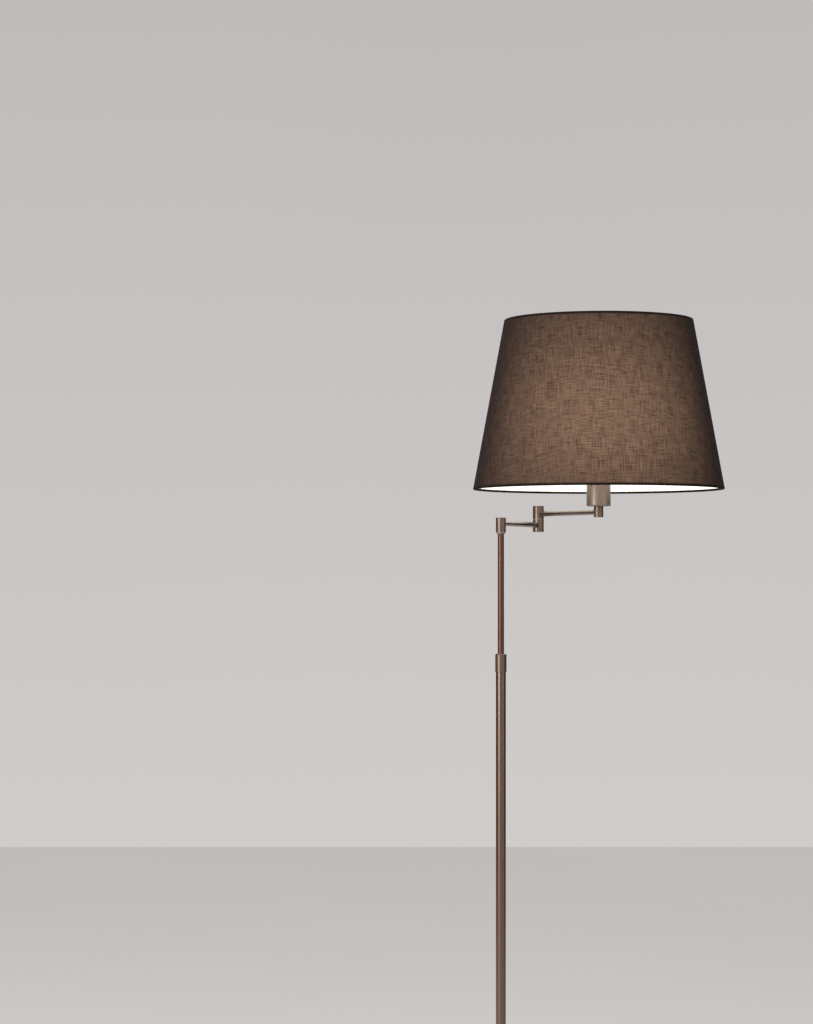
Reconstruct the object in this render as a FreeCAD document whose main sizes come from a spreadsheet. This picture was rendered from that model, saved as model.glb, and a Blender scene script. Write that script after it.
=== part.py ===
import FreeCAD, Part
import math
import os
import re

import Sketcher

"""Bridge floor lamp: a weighted round base, a two-piece pole, a sliding inner pole held by a
clamping collar, and two folding arms that carry a cup, a lampholder and a tapered linen shade.

Millimetres, +Z up, origin at the centre of the base's underside, on the floor. The arms are drawn
in their usual pose, opened sideways, and every height is counted up from the floor."""

Vector = FreeCAD.Vector
Rotation = FreeCAD.Rotation

doc = FreeCAD.newDocument("bridge_floor_lamp")

# ------------------------------------------------------------------ driving dimensions

DIMENSIONS = {
    # base
    "base_radius": 125,
    "base_height": 25,
    "base_edge_radius": 3,
    "shell_wall": 1.6,
    "shell_rim_lift": 1.0,
    "pad_radius": 118,
    "pad_thickness": 2,
    "ballast_gap": 0.6,
    "ballast_recess_radius": 23,
    "ballast_recess_depth": 11,
    "washer_radius": 17,
    "washer_thickness": 2.5,
    "locknut_flats": 17,
    "locknut_height": 5,
    "cord_channel_width": 9,
    "cord_channel_depth": 8,
    "cord_hole_radius": 3.6,
    "grommet_neck_radius": 5.5,
    "grommet_flange_radius": 7.5,
    "grommet_flange_thickness": 1.5,
    "grommet_height": 11,
    # stud and foot
    "stud_radius": 5,
    "stud_bore_radius": 3.5,
    "stud_tail": 1.5,
    "stud_reach": 28,
    "foot_ring_radius": 9.8,
    "foot_ring_height": 4.5,
    "foot_ring_seat": 2.5,
    "foot_plug_length": 32,
    # outer pole
    "pole_radius": 8,
    "pole_wall": 1.2,
    "lower_pole_length": 563.5,
    "upper_pole_length": 321,
    "joiner_reach": 22,
    "joiner_line": 0.8,
    "joiner_line_depth": 0.7,
    "joiner_bore_radius": 5.2,
    # collar and clamping bush
    "collar_radius": 9,
    "collar_height": 28.4,
    "collar_above_pole": 7.7,
    "collar_chamfer": 1.1,
    "bush_length": 25,
    "bush_flange": 1.6,
    "bush_cone_height": 4.5,
    "bush_cone_top_radius": 5.9,
    "bush_slit": 0.8,
    "cone_gap": 0.35,
    # sliding pole
    "inner_radius": 5,
    "inner_wall": 1,
    "inner_length": 305,
    "extension": 188.9,
    "guide_length": 18,
    # pole-top swivel
    "neck_height": 3.0,
    "neck_radius": 6.4,
    "spigot_length": 20,
    "spigot_bore_radius": 2.2,
    "swivel_pin_radius": 3.5,
    "swivel_washer": 0.4,
    "swivel_washer_radius": 7.0,
    "root_radius": 8,
    "root_height": 23.8,
    "root_floor": 4.5,
    "cap_thickness": 1.3,
    "cap_plug": 1.6,
    "cap_chamfer": 0.4,
    "cap_line": 0.35,
    "nut_flats": 9,
    "nut_height": 3.5,
    "spring_washer": 1.0,
    "pin_tail": 1.0,
    # arms
    "arm_radius": 4.25,
    "arm_wall": 1,
    "lower_arm_length": 150,
    "upper_arm_length": 150,
    "lower_arm_angle": 64,
    "upper_arm_angle": -53,
    "lower_arm_drop": 8.8,
    "arm_step": 18.2,
    "arm_end_gap": 0.3,
    "barrel_cavity_radius": 5.6,
    # elbow
    "elbow_radius": 9,
    "elbow_cavity_radius": 6,
    "elbow_lower_below": 11.1,
    "elbow_lower_above": 9.4,
    "elbow_upper_below": 8.3,
    "elbow_upper_above": 13.1,
    "elbow_washer_radius": 8.3,
    "elbow_land": 4,
    "elbow_head_height": 2,
    "elbow_head_radius": 5.4,
    # knuckle and cup
    "knuckle_radius": 7.6,
    "knuckle_below": 8.4,
    "knuckle_above": 9.0,
    "nipple_seat": 6,
    "cup_radius": 19.3,
    "cup_height": 58,
    "cup_wall": 0.9,
    "cup_edge_radius": 2.0,
    # lampholder, heights above the cup's underside
    "holder_base_top": 24,
    "holder_boss_radius": 9,
    "holder_boss_height": 4,
    "holder_radius": 18,
    "holder_dome_height": 9,
    "sleeve_height": 50,
    "sleeve_bore_radius": 14.2,
    "sleeve_floor": 3,
    "insert_height": 4,
    "contact_shell_radius": 13.9,
    "contact_shell_wall": 0.4,
    "contact_shell_height": 28,
    "contact_strip": 0.6,
    "contact_lift": 4.0,
    "contact_width": 6,
    # shade
    "shade_bottom_radius": 200,
    "shade_top_radius": 150,
    "shade_height": 270,
    "shade_above_cup": 26.6,
    "fabric_thickness": 0.8,
    "lining_thickness": 0.8,
    "glue_line": 0.1,
    "hem_depth": 3.2,
    "wire_radius": 1.5,
    "fitter_radius": 27.5,
    "fitter_hole_radius": 18.8,
    "fitter_thickness": 1.6,
    "fitter_above_cup": 64,
    "spoke_flat": 52,
    "spoke_slot": 5,
    "spoke_turn": 90,
    "shade_ring_radius": 25,
    "shade_ring_height": 5,
    # bulb
    "bulb_cap_radius": 13.05,
    "bulb_cap_height": 24,
    "bulb_neck_radius": 12.6,
    "bulb_radius": 30,
    "bulb_glass": 1,
    "bulb_length": 110,
    # fits
    "running_fit": 0.05,
    "thread_gap": 0.1,
    "face_play": 0.05,
}

sheet = doc.addObject("Spreadsheet::Sheet", "dims")
for row, (alias, value) in enumerate(DIMENSIONS.items(), start=1):
    sheet.set(f"A{row}", alias.replace("_", " "))
    sheet.set(f"B{row}", str(value))
    sheet.setAlias(f"B{row}", alias)
doc.recompute()

# ------------------------------------------------------------------ derived heights and places

SHELL_TOP = "base_height"
POLE_FOOT = "(base_height + foot_ring_height - foot_ring_seat)"
SEAM = f"({POLE_FOOT} + lower_pole_length)"
UPPER_POLE_FOOT = f"({SEAM} + joiner_line)"
UPPER_POLE_TOP = f"({UPPER_POLE_FOOT} + upper_pole_length)"
COLLAR_TOP = f"({UPPER_POLE_TOP} + collar_above_pole)"
INNER_TOP = f"({COLLAR_TOP} + extension)"
INNER_FOOT = f"({INNER_TOP} - inner_length)"
ROOT_FOOT = f"({INNER_TOP} + neck_height + swivel_washer + face_play)"
ROOT_TOP = f"({ROOT_FOOT} + root_height)"
LOWER_ARM_Z = f"({ROOT_TOP} - lower_arm_drop)"
UPPER_ARM_Z = f"({LOWER_ARM_Z} + arm_step)"
ELBOW_SPLIT = f"({LOWER_ARM_Z} + elbow_lower_above)"
ELBOW_UPPER_FOOT = f"({UPPER_ARM_Z} - elbow_upper_below)"
CUP_FOOT = f"({UPPER_ARM_Z} + knuckle_above)"
SHADE_FOOT = f"({CUP_FOOT} + shade_above_cup)"

ELBOW_X = "(lower_arm_length * cos(lower_arm_angle))"
ELBOW_Y = "(lower_arm_length * sin(lower_arm_angle))"
HEAD_X = f"({ELBOW_X} + upper_arm_length * cos(upper_arm_angle))"
HEAD_Y = f"({ELBOW_Y} + upper_arm_length * sin(upper_arm_angle))"

POLE_BORE = "(pole_radius - pole_wall)"
SHADE_SLOPE = "((shade_bottom_radius - shade_top_radius) / shade_height)"

# ------------------------------------------------------------------ drawing helpers

FULL_TURN = 360
BUSH_SLITS = 4
SPOKES = 3

subparts = []


def bound(formula):
    """The formula with each dimension's alias written as a cell of the sheet."""
    return re.sub(r"[a-z_]+", lambda m: "dims." + m[0] if m[0] in DIMENSIONS else m[0], formula)


def size(formula):
    """The formula's present value."""
    return float(sheet.evalExpression(bound(formula)))


def new_body(label):
    body = doc.addObject("PartDesign::Body", label)
    body.Label = label
    subparts.append(body)
    return body


def place(body, x="0", y="0", z="0", turn=None):
    """Puts a sub-part at its place, turned about the vertical where turn is given."""
    for axis, formula in (("x", x), ("y", y), ("z", z)):
        if formula != "0":
            body.setExpression(f"Placement.Base.{axis}", bound(formula))
    if turn is not None:
        body.Placement.Rotation = Rotation(Vector(0, 0, 1), size(turn))
        body.setExpression("Placement.Rotation.Angle", bound(turn))


def sketch_on(body, name, role, offset=None):
    """An empty sketch on one of the body's origin planes, moved along its normal by offset."""
    plane = next(f for f in body.Origin.OriginFeatures if f.Role == role)
    sketch = body.newObject("Sketcher::SketchObject", name)
    sketch.AttachmentSupport = (plane, [""])
    sketch.MapMode = "FlatFace"
    if offset is not None:
        sketch.setExpression("AttachmentOffset.Base.z", bound(offset))
    return sketch


def pin_point(sketch, element, end, x, y):
    """Ties a point of the sketch to the formulas of its two coordinates."""
    if x == "0":
        sketch.addConstraint(Sketcher.Constraint("PointOnObject", element, end, -2))
    else:
        index = sketch.addConstraint(Sketcher.Constraint("DistanceX", -1, 1, element, end, size(x)))
        sketch.setExpression(f"Constraints[{index}]", bound(x))
    if y == "0":
        sketch.addConstraint(Sketcher.Constraint("PointOnObject", element, end, -1))
    else:
        index = sketch.addConstraint(Sketcher.Constraint("DistanceY", -1, 1, element, end, size(y)))
        sketch.setExpression(f"Constraints[{index}]", bound(y))


def draw_lines(sketch, points, closed=True):
    """Straight lines through the points, each point a pair of formulas."""
    at = [Vector(size(x), size(y), 0) for x, y in points]
    count = len(points) if closed else len(points) - 1
    for i in range(count):
        sketch.addGeometry(Part.LineSegment(at[i], at[(i + 1) % len(at)]), False)
    for i in range(count if closed else count - 1):
        sketch.addConstraint(Sketcher.Constraint("Coincident", i, 2, (i + 1) % count, 1))
    for i in range(count):
        pin_point(sketch, i, 1, *points[i])
    if not closed:
        pin_point(sketch, count - 1, 2, *points[-1])


def draw_circle(sketch, radius, x="0", y="0"):
    index = sketch.addGeometry(Part.Circle(Vector(size(x), size(y), 0), Vector(0, 0, 1), size(radius)), False)
    datum = sketch.addConstraint(Sketcher.Constraint("Radius", index, size(radius)))
    sketch.setExpression(f"Constraints[{datum}]", bound(radius))
    pin_point(sketch, index, 3, x, y)


def revolve(body, sketch):
    turned = body.newObject("PartDesign::Revolution", "turned")
    turned.Profile = sketch
    turned.ReferenceAxis = (sketch, ["V_Axis"])
    turned.Angle = FULL_TURN
    doc.recompute()
    return turned


def turned_body(label, points):
    """A turned piece: its half section, as pairs of radius and height, spun about the vertical."""
    body = new_body(label)
    sketch = sketch_on(body, "half_section", "XZ_Plane")
    draw_lines(sketch, points)
    revolve(body, sketch)
    return body


def ring_points(inner, outer, low, high):
    return [(inner, low), (outer, low), (outer, high), (inner, high)]


def pad(body, sketch, length):
    feature = body.newObject("PartDesign::Pad", "pad")
    feature.Profile = sketch
    feature.setExpression("Length", bound(length))
    doc.recompute()
    return feature


def pocket(body, sketch, length, forward=False, symmetric=False):
    """A cut along the sketch's normal when forward, else against it; it has to remove material."""
    before = body.Shape.Volume
    feature = body.newObject("PartDesign::Pocket", "pocket")
    feature.Profile = sketch
    feature.Reversed = forward
    if symmetric:
        feature.SideType = "Symmetric"
    feature.setExpression("Length", bound(length))
    doc.recompute()
    if body.Shape.Volume > before - 1e-6:
        raise RuntimeError(f"{body.Label}: a pocket removes nothing")
    return feature


def repeat_round(body, features, count):
    """The features repeated round the body's vertical axis."""
    axis = next(f for f in body.Origin.OriginFeatures if f.Role == "Z_Axis")
    pattern = body.newObject("PartDesign::PolarPattern", "pattern")
    pattern.Originals = features
    pattern.Axis = (axis, [""])
    pattern.Angle = FULL_TURN
    pattern.Occurrences = count
    body.Tip = pattern
    doc.recompute()
    return pattern


def round_edges_at(body, kind, amount, radius, height):
    """A fillet or chamfer of the circular edges that lie at this radius and height."""
    base = body.Tip
    names = []
    for number, edge in enumerate(base.Shape.Edges, start=1):
        curve = edge.Curve
        if not isinstance(curve, Part.Circle):
            continue
        if abs(curve.Radius - size(radius)) < 1e-4 and abs(curve.Center.z - size(height)) < 1e-4:
            names.append(f"Edge{number}")
    if not names:
        raise RuntimeError(f"{body.Label}: no edge to finish")
    feature = body.newObject(f"PartDesign::{kind}", kind.lower())
    feature.Base = (base, names)
    feature.setExpression("Radius" if kind == "Fillet" else "Size", bound(amount))
    doc.recompute()
    return feature


def cross_bore(body, radius, height, depth):
    """A round hole from the axis out through the wall, towards the body's own +X."""
    sketch = sketch_on(body, "cross_bore", "YZ_Plane")
    draw_circle(sketch, radius, "0", height)
    return pocket(body, sketch, depth, forward=True)


def hex_nut(label, flats, height, bore):
    body = new_body(label)
    sketch = sketch_on(body, "hexagon", "XY_Plane")
    corner = f"({flats} / sqrt(3))"
    half_corner = f"({flats} / sqrt(3) / 2)"
    half = f"({flats} / 2)"
    draw_lines(sketch, [(corner, "0"), (half_corner, half), (f"-{half_corner}", half),
                        (f"-{corner}", "0"), (f"-{half_corner}", f"-{half}"), (half_corner, f"-{half}")])
    pad(body, sketch, height)
    hole = sketch_on(body, "thread_bore", "XY_Plane")
    draw_circle(hole, bore)
    pocket(body, hole, height, forward=True)
    return body


def tube_body(label, radius, wall, start, length):
    """A round tube that lies along its own +X."""
    body = new_body(label)
    sketch = sketch_on(body, "tube_section", "YZ_Plane", start)
    draw_circle(sketch, radius)
    draw_circle(sketch, f"({radius} - {wall})")
    pad(body, sketch, length)
    return body


# ------------------------------------------------------------------ base


def make_base_pad():
    body = turned_body("base_pad", ring_points("0", "pad_radius", "0", "pad_thickness"))
    place(body)


def make_base_shell():
    inner = "(base_radius - shell_wall)"
    under = "(base_height - shell_wall)"
    hole = "(stud_radius + thread_gap)"
    body = turned_body("base_shell", [
        (hole, under),
        (inner, under),
        (inner, "shell_rim_lift"),
        ("base_radius", "shell_rim_lift"),
        ("base_radius", "base_height"),
        (hole, "base_height"),
    ])
    round_edges_at(body, "Fillet", "base_edge_radius", "base_radius", "base_height")
    round_edges_at(body, "Fillet", "(base_edge_radius - shell_wall)", inner, under)
    sketch = sketch_on(body, "cord_hole", "XZ_Plane")
    draw_circle(sketch, "(grommet_neck_radius + thread_gap)", "0", "grommet_height")
    pocket(body, sketch, "(base_radius + shell_wall)", forward=False)
    place(body)


def make_base_ballast():
    rim = "(base_radius - shell_wall - ballast_gap)"
    top = "(base_height - shell_wall)"
    edge = "(base_edge_radius - shell_wall + ballast_gap)"
    body = turned_body("base_ballast", [
        ("stud_radius + thread_gap", "pad_thickness + ballast_recess_depth"),
        ("ballast_recess_radius", "pad_thickness + ballast_recess_depth"),
        ("ballast_recess_radius", "pad_thickness"),
        (rim, "pad_thickness"),
        (rim, top),
        ("stud_radius + thread_gap", top),
    ])
    round_edges_at(body, "Chamfer", edge, rim, top)
    channel = sketch_on(body, "cord_channel", "XY_Plane", "pad_thickness")
    half = "(cord_channel_width / 2)"
    draw_lines(channel, [(half, "0"), (half, rim), (f"-{half}", rim), (f"-{half}", "0")])
    pocket(body, channel, "cord_channel_depth", forward=True)
    notch = sketch_on(body, "grommet_notch", "XY_Plane", "pad_thickness")
    side = "(grommet_flange_radius + 2 * ballast_gap)"
    back = f"({rim} - 2 * grommet_flange_thickness - 2 * ballast_gap)"
    out = "base_radius"
    draw_lines(notch, [(side, back), (side, out), (f"-{side}", out), (f"-{side}", back)])
    pocket(body, notch, f"(grommet_height + {side} - pad_thickness)", forward=True)
    place(body)


def make_cord_grommet():
    """Turned about the cord's axis, with the groove of its neck in the shell's wall."""
    wall = "(shell_wall + ballast_gap)"
    body = turned_body("cord_grommet", [
        ("cord_hole_radius", f"-{wall} - grommet_flange_thickness"),
        ("grommet_flange_radius", f"-{wall} - grommet_flange_thickness"),
        ("grommet_flange_radius", f"-{wall}"),
        ("grommet_neck_radius", f"-{wall}"),
        ("grommet_neck_radius", "face_play"),
        ("grommet_flange_radius", "face_play"),
        ("grommet_flange_radius - grommet_flange_thickness / 2", "grommet_flange_thickness"),
        ("cord_hole_radius", "grommet_flange_thickness"),
    ])
    body.Placement.Rotation = Rotation(Vector(1, 0, 0), -90)
    place(body, y="base_radius", z="grommet_height")


def make_base_fastening():
    recess_roof = "(pad_thickness + ballast_recess_depth)"
    washer_foot = f"({recess_roof} - washer_thickness)"
    nut_foot = f"({washer_foot} - locknut_height)"
    washer = turned_body("base_washer", ring_points(
        "stud_radius + thread_gap", "washer_radius", "0", "washer_thickness"))
    place(washer, z=washer_foot)
    nut = hex_nut("base_locknut", "locknut_flats", "locknut_height", "stud_radius + thread_gap")
    place(nut, z=nut_foot)
    stud_foot = f"({nut_foot} - stud_tail)"
    stud_length = f"({POLE_FOOT} + stud_reach - {stud_foot})"
    stud = turned_body("pole_stud", ring_points("stud_bore_radius", "stud_radius", "0", stud_length))
    place(stud, z=stud_foot)


# ------------------------------------------------------------------ outer pole


def make_pole_foot():
    seat = "(foot_ring_height - foot_ring_seat)"
    ring = turned_body("pole_foot_ring", [
        ("stud_radius + thread_gap", "0"),
        ("foot_ring_radius", "0"),
        ("foot_ring_radius", "foot_ring_height"),
        ("pole_radius + thread_gap", "foot_ring_height"),
        ("pole_radius + thread_gap", seat),
        ("stud_radius + thread_gap", seat),
    ])
    round_edges_at(ring, "Fillet", "foot_ring_height / 5", "foot_ring_radius", "foot_ring_height")
    place(ring, z=SHELL_TOP)
    plug = turned_body("pole_foot_plug", ring_points(
        "stud_radius + thread_gap", POLE_BORE, "0", "foot_plug_length"))
    place(plug, z=POLE_FOOT)


def make_outer_pole():
    lower = turned_body("lower_pole", ring_points(POLE_BORE, "pole_radius", "0", "lower_pole_length"))
    place(lower, z=POLE_FOOT)
    upper = turned_body("upper_pole", ring_points(POLE_BORE, "pole_radius", "0", "upper_pole_length"))
    place(upper, z=UPPER_POLE_FOOT)
    line = "(pole_radius - joiner_line_depth)"
    joiner = turned_body("pole_joiner", [
        ("joiner_bore_radius", "-joiner_reach"),
        (POLE_BORE, "-joiner_reach"),
        (POLE_BORE, "0"),
        (line, "0"),
        (line, "joiner_line"),
        (POLE_BORE, "joiner_line"),
        (POLE_BORE, "joiner_line + joiner_reach"),
        ("joiner_bore_radius", "joiner_line + joiner_reach"),
    ])
    place(joiner, z=SEAM)


def make_clamp():
    """The split bush in the pole's mouth and the collar whose cone presses it on the inner pole."""
    bore = "(inner_radius + running_fit)"
    flange = "(pole_radius - running_fit)"
    cone_foot = "bush_flange"
    cone_top = "(bush_flange + bush_cone_height)"
    bush = turned_body("clamp_bush", [
        (bore, "-bush_length"),
        (POLE_BORE, "-bush_length"),
        (POLE_BORE, "0"),
        (flange, "0"),
        (flange, cone_foot),
        ("bush_cone_top_radius", cone_top),
        (bore, cone_top),
    ])
    slit = sketch_on(bush, "slit", "XZ_Plane")
    draw_lines(slit, ring_points("0", "pole_radius + bush_slit", cone_foot, f"{cone_top} + bush_slit"))
    cut = pocket(bush, slit, "bush_slit", symmetric=True)
    repeat_round(bush, [cut], BUSH_SLITS)
    place(bush, z=UPPER_POLE_TOP)

    pole_fit = "(pole_radius + running_fit)"
    foot = "(collar_above_pole - collar_height)"
    mouth = "(inner_radius + cone_gap)"
    collar = turned_body("height_collar", [
        (pole_fit, foot),
        ("collar_radius", foot),
        ("collar_radius", "collar_above_pole"),
        (mouth, "collar_above_pole"),
        (mouth, f"({cone_top} + cone_gap)"),
        ("bush_cone_top_radius + cone_gap", f"({cone_top} + cone_gap)"),
        (pole_fit, f"({cone_foot} + cone_gap)"),
    ])
    round_edges_at(collar, "Chamfer", "collar_chamfer", "collar_radius", "collar_above_pole")
    place(collar, z=UPPER_POLE_TOP)


# ------------------------------------------------------------------ sliding pole and its swivel


def make_inner_pole():
    bore = "(inner_radius - inner_wall)"
    tube = turned_body("inner_pole", ring_points(bore, "inner_radius", "0", "inner_length"))
    place(tube, z=INNER_FOOT)
    guide = turned_body("guide_bush", ring_points(
        "inner_radius", f"({POLE_BORE} - running_fit)", "0", "guide_length"))
    round_edges_at(guide, "Chamfer", "inner_wall", f"({POLE_BORE} - running_fit)", "0")
    place(guide, z=INNER_FOOT)


PIN_HEIGHT = "(neck_height + swivel_washer + face_play + root_floor + spring_washer + nut_height + pin_tail)"


def make_swivel():
    """The spigot in the inner pole's top; its pin carries the lower arm's root barrel."""
    spigot = turned_body("swivel_spigot", [
        ("spigot_bore_radius", "-spigot_length"),
        ("inner_radius - inner_wall", "-spigot_length"),
        ("inner_radius - inner_wall", "0"),
        ("inner_radius", "0"),
        ("neck_radius", "neck_height - neck_height / 3"),
        ("neck_radius", "neck_height"),
        ("swivel_pin_radius", "neck_height"),
        ("swivel_pin_radius", PIN_HEIGHT),
        ("spigot_bore_radius", PIN_HEIGHT),
    ])
    place(spigot, z=INNER_TOP)
    washer = turned_body("swivel_washer", ring_points(
        "swivel_pin_radius + thread_gap", "swivel_washer_radius", "0", "swivel_washer"))
    place(washer, z=f"({INNER_TOP} + neck_height)")
    over_floor = f"({ROOT_FOOT} + root_floor)"
    spring = turned_body("spigot_spring_washer", ring_points(
        "swivel_pin_radius + thread_gap", "barrel_cavity_radius - cone_gap", "face_play", "spring_washer"))
    place(spring, z=over_floor)
    nut = hex_nut("spigot_nut", "nut_flats", "nut_height", "swivel_pin_radius + thread_gap")
    place(nut, z=f"({over_floor} + spring_washer)")


# ------------------------------------------------------------------ lower arm


def make_cap(label, radius, cavity):
    """A cap with a shallow line under its rim and a plug that fills the barrel's mouth."""
    body = turned_body(label, [
        ("0", "-cap_plug"),
        (f"({cavity} - thread_gap)", "-cap_plug"),
        (f"({cavity} - thread_gap)", "0"),
        (f"({radius} - cap_line)", "0"),
        (f"({radius} - cap_line)", "cap_line"),
        (radius, "cap_line"),
        (radius, "cap_thickness"),
        ("0", "cap_thickness"),
    ])
    round_edges_at(body, "Chamfer", "cap_chamfer", radius, "cap_thickness")
    return body


def make_root_barrel():
    top = "(root_height - cap_thickness)"
    bore = "(swivel_pin_radius + running_fit)"
    barrel = turned_body("root_barrel", [
        (bore, "0"),
        ("root_radius", "0"),
        ("root_radius", top),
        ("barrel_cavity_radius", top),
        ("barrel_cavity_radius", "root_floor"),
        (bore, "root_floor"),
    ])
    round_edges_at(barrel, "Chamfer", "cap_chamfer", "root_radius", "0")
    cross_bore(barrel, "arm_radius", "(root_height - lower_arm_drop)", "2 * root_radius")
    place(barrel, z=ROOT_FOOT, turn="lower_arm_angle")
    cap = make_cap("root_cap", "root_radius", "barrel_cavity_radius")
    place(cap, z=f"({ROOT_FOOT} + {top})")


def make_lower_arm_tube():
    start = "(barrel_cavity_radius + arm_end_gap)"
    length = f"(lower_arm_length - elbow_cavity_radius - arm_end_gap - {start})"
    tube = tube_body("lower_arm_tube", "arm_radius", "arm_wall", start, length)
    place(tube, z=LOWER_ARM_Z, turn="lower_arm_angle")


def make_elbow_lower():
    """Heights count from the elbow's split, where this barrel's top face lies."""
    foot = "-(elbow_lower_below + elbow_lower_above)"
    bore = "(swivel_pin_radius + running_fit)"
    barrel = turned_body("elbow_lower_barrel", [
        (bore, "-elbow_land"),
        ("elbow_cavity_radius", "-elbow_land"),
        ("elbow_cavity_radius", f"{foot} + cap_thickness"),
        ("elbow_radius", f"{foot} + cap_thickness"),
        ("elbow_radius", "0"),
        (bore, "0"),
    ])
    cross_bore(barrel, "arm_radius", "-elbow_lower_above", "2 * elbow_radius")
    place(barrel, x=ELBOW_X, y=ELBOW_Y, z=ELBOW_SPLIT, turn="lower_arm_angle + 180")
    cap = make_cap("elbow_base_cap", "elbow_radius", "elbow_cavity_radius")
    cap.Placement.Rotation = Rotation(Vector(1, 0, 0), 180)
    place(cap, x=ELBOW_X, y=ELBOW_Y, z=f"({LOWER_ARM_Z} - elbow_lower_below + cap_thickness)")
    washer = turned_body("elbow_washer", ring_points(
        "swivel_pin_radius + running_fit", "elbow_washer_radius", "0",
        "(arm_step - elbow_lower_above - elbow_upper_below - face_play)"))
    place(washer, x=ELBOW_X, y=ELBOW_Y, z=ELBOW_SPLIT)


# ------------------------------------------------------------------ upper arm


def make_elbow_upper():
    """Heights count from this barrel's foot."""
    top = "(elbow_upper_below + elbow_upper_above - cap_thickness)"
    barrel = turned_body("elbow_upper_barrel", [
        ("swivel_pin_radius", "0"),
        ("elbow_radius", "0"),
        ("elbow_radius", top),
        ("elbow_cavity_radius", top),
        ("elbow_cavity_radius", "elbow_land"),
        ("swivel_pin_radius", "elbow_land"),
    ])
    cross_bore(barrel, "arm_radius", "elbow_upper_below", "2 * elbow_radius")
    place(barrel, x=ELBOW_X, y=ELBOW_Y, z=ELBOW_UPPER_FOOT, turn="upper_arm_angle")
    cap = make_cap("elbow_cap", "elbow_radius", "elbow_cavity_radius")
    place(cap, x=ELBOW_X, y=ELBOW_Y, z=f"({ELBOW_UPPER_FOOT} + {top})")


def make_elbow_pin():
    """The hollow pivot: its head sits in the upper barrel and its nut hangs in the lower one."""
    joint = "(arm_step - elbow_lower_above - elbow_upper_below)"
    tail = f"-({joint} + elbow_land + spring_washer + nut_height + pin_tail)"
    pin = turned_body("elbow_pin", [
        ("spigot_bore_radius", tail),
        ("swivel_pin_radius", tail),
        ("swivel_pin_radius", "elbow_land"),
        ("elbow_head_radius", "elbow_land"),
        ("elbow_head_radius", "elbow_land + elbow_head_height"),
        ("spigot_bore_radius", "elbow_land + elbow_head_height"),
    ])
    place(pin, x=ELBOW_X, y=ELBOW_Y, z=ELBOW_UPPER_FOOT)
    spring = turned_body("elbow_spring_washer", ring_points(
        "swivel_pin_radius + thread_gap", "elbow_cavity_radius - cone_gap",
        "-spring_washer", "-face_play"))
    place(spring, x=ELBOW_X, y=ELBOW_Y, z=f"({ELBOW_SPLIT} - elbow_land)")
    nut = hex_nut("elbow_nut", "nut_flats", "nut_height", "swivel_pin_radius + thread_gap")
    place(nut, x=ELBOW_X, y=ELBOW_Y, z=f"({ELBOW_SPLIT} - elbow_land - spring_washer - nut_height)")


def make_upper_arm_tube():
    start = "(elbow_cavity_radius + arm_end_gap)"
    length = f"(upper_arm_length - stud_radius - 2 * arm_end_gap - {start})"
    tube = tube_body("upper_arm_tube", "arm_radius", "arm_wall", start, length)
    place(tube, x=ELBOW_X, y=ELBOW_Y, z=UPPER_ARM_Z, turn="upper_arm_angle")


def make_knuckle():
    """Heights count from the upper arm's axis. The nipple's seat is bored from the top."""
    seat = "(knuckle_above - nipple_seat)"
    knuckle = turned_body("socket_knuckle", [
        ("0", "-knuckle_below"),
        ("knuckle_radius", "-knuckle_below"),
        ("knuckle_radius", "knuckle_above"),
        ("stud_radius", "knuckle_above"),
        ("stud_radius", seat),
        ("stud_bore_radius", seat),
        ("stud_bore_radius", "0"),
        ("0", "0"),
    ])
    round_edges_at(knuckle, "Chamfer", "cap_chamfer", "knuckle_radius", "-knuckle_below")
    cross_bore(knuckle, "arm_radius - arm_wall", "0", "2 * knuckle_radius")
    sketch = sketch_on(knuckle, "arm_seat", "YZ_Plane", "stud_radius + arm_end_gap")
    draw_circle(sketch, "arm_radius")
    pocket(knuckle, sketch, "knuckle_radius", forward=True)
    place(knuckle, x=HEAD_X, y=HEAD_Y, z=UPPER_ARM_Z, turn="upper_arm_angle + 180")
    nipple = turned_body("lamp_nipple", ring_points(
        "stud_bore_radius", "stud_radius - thread_gap", "-nipple_seat",
        "cup_wall + holder_boss_height + nipple_seat"))
    place(nipple, x=HEAD_X, y=HEAD_Y, z=CUP_FOOT)


# ------------------------------------------------------------------ cup and lampholder


def make_cup():
    inner = "(cup_radius - cup_wall)"
    cup = turned_body("cup", [
        ("stud_radius", "0"),
        ("cup_radius", "0"),
        ("cup_radius", "cup_height"),
        (inner, "cup_height"),
        (inner, "cup_wall"),
        ("stud_radius", "cup_wall"),
    ])
    round_edges_at(cup, "Fillet", "cup_edge_radius", "cup_radius", "0")
    round_edges_at(cup, "Fillet", "(cup_edge_radius - cup_wall)", inner, "cup_wall")
    place(cup, x=HEAD_X, y=HEAD_Y, z=CUP_FOOT)


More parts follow.
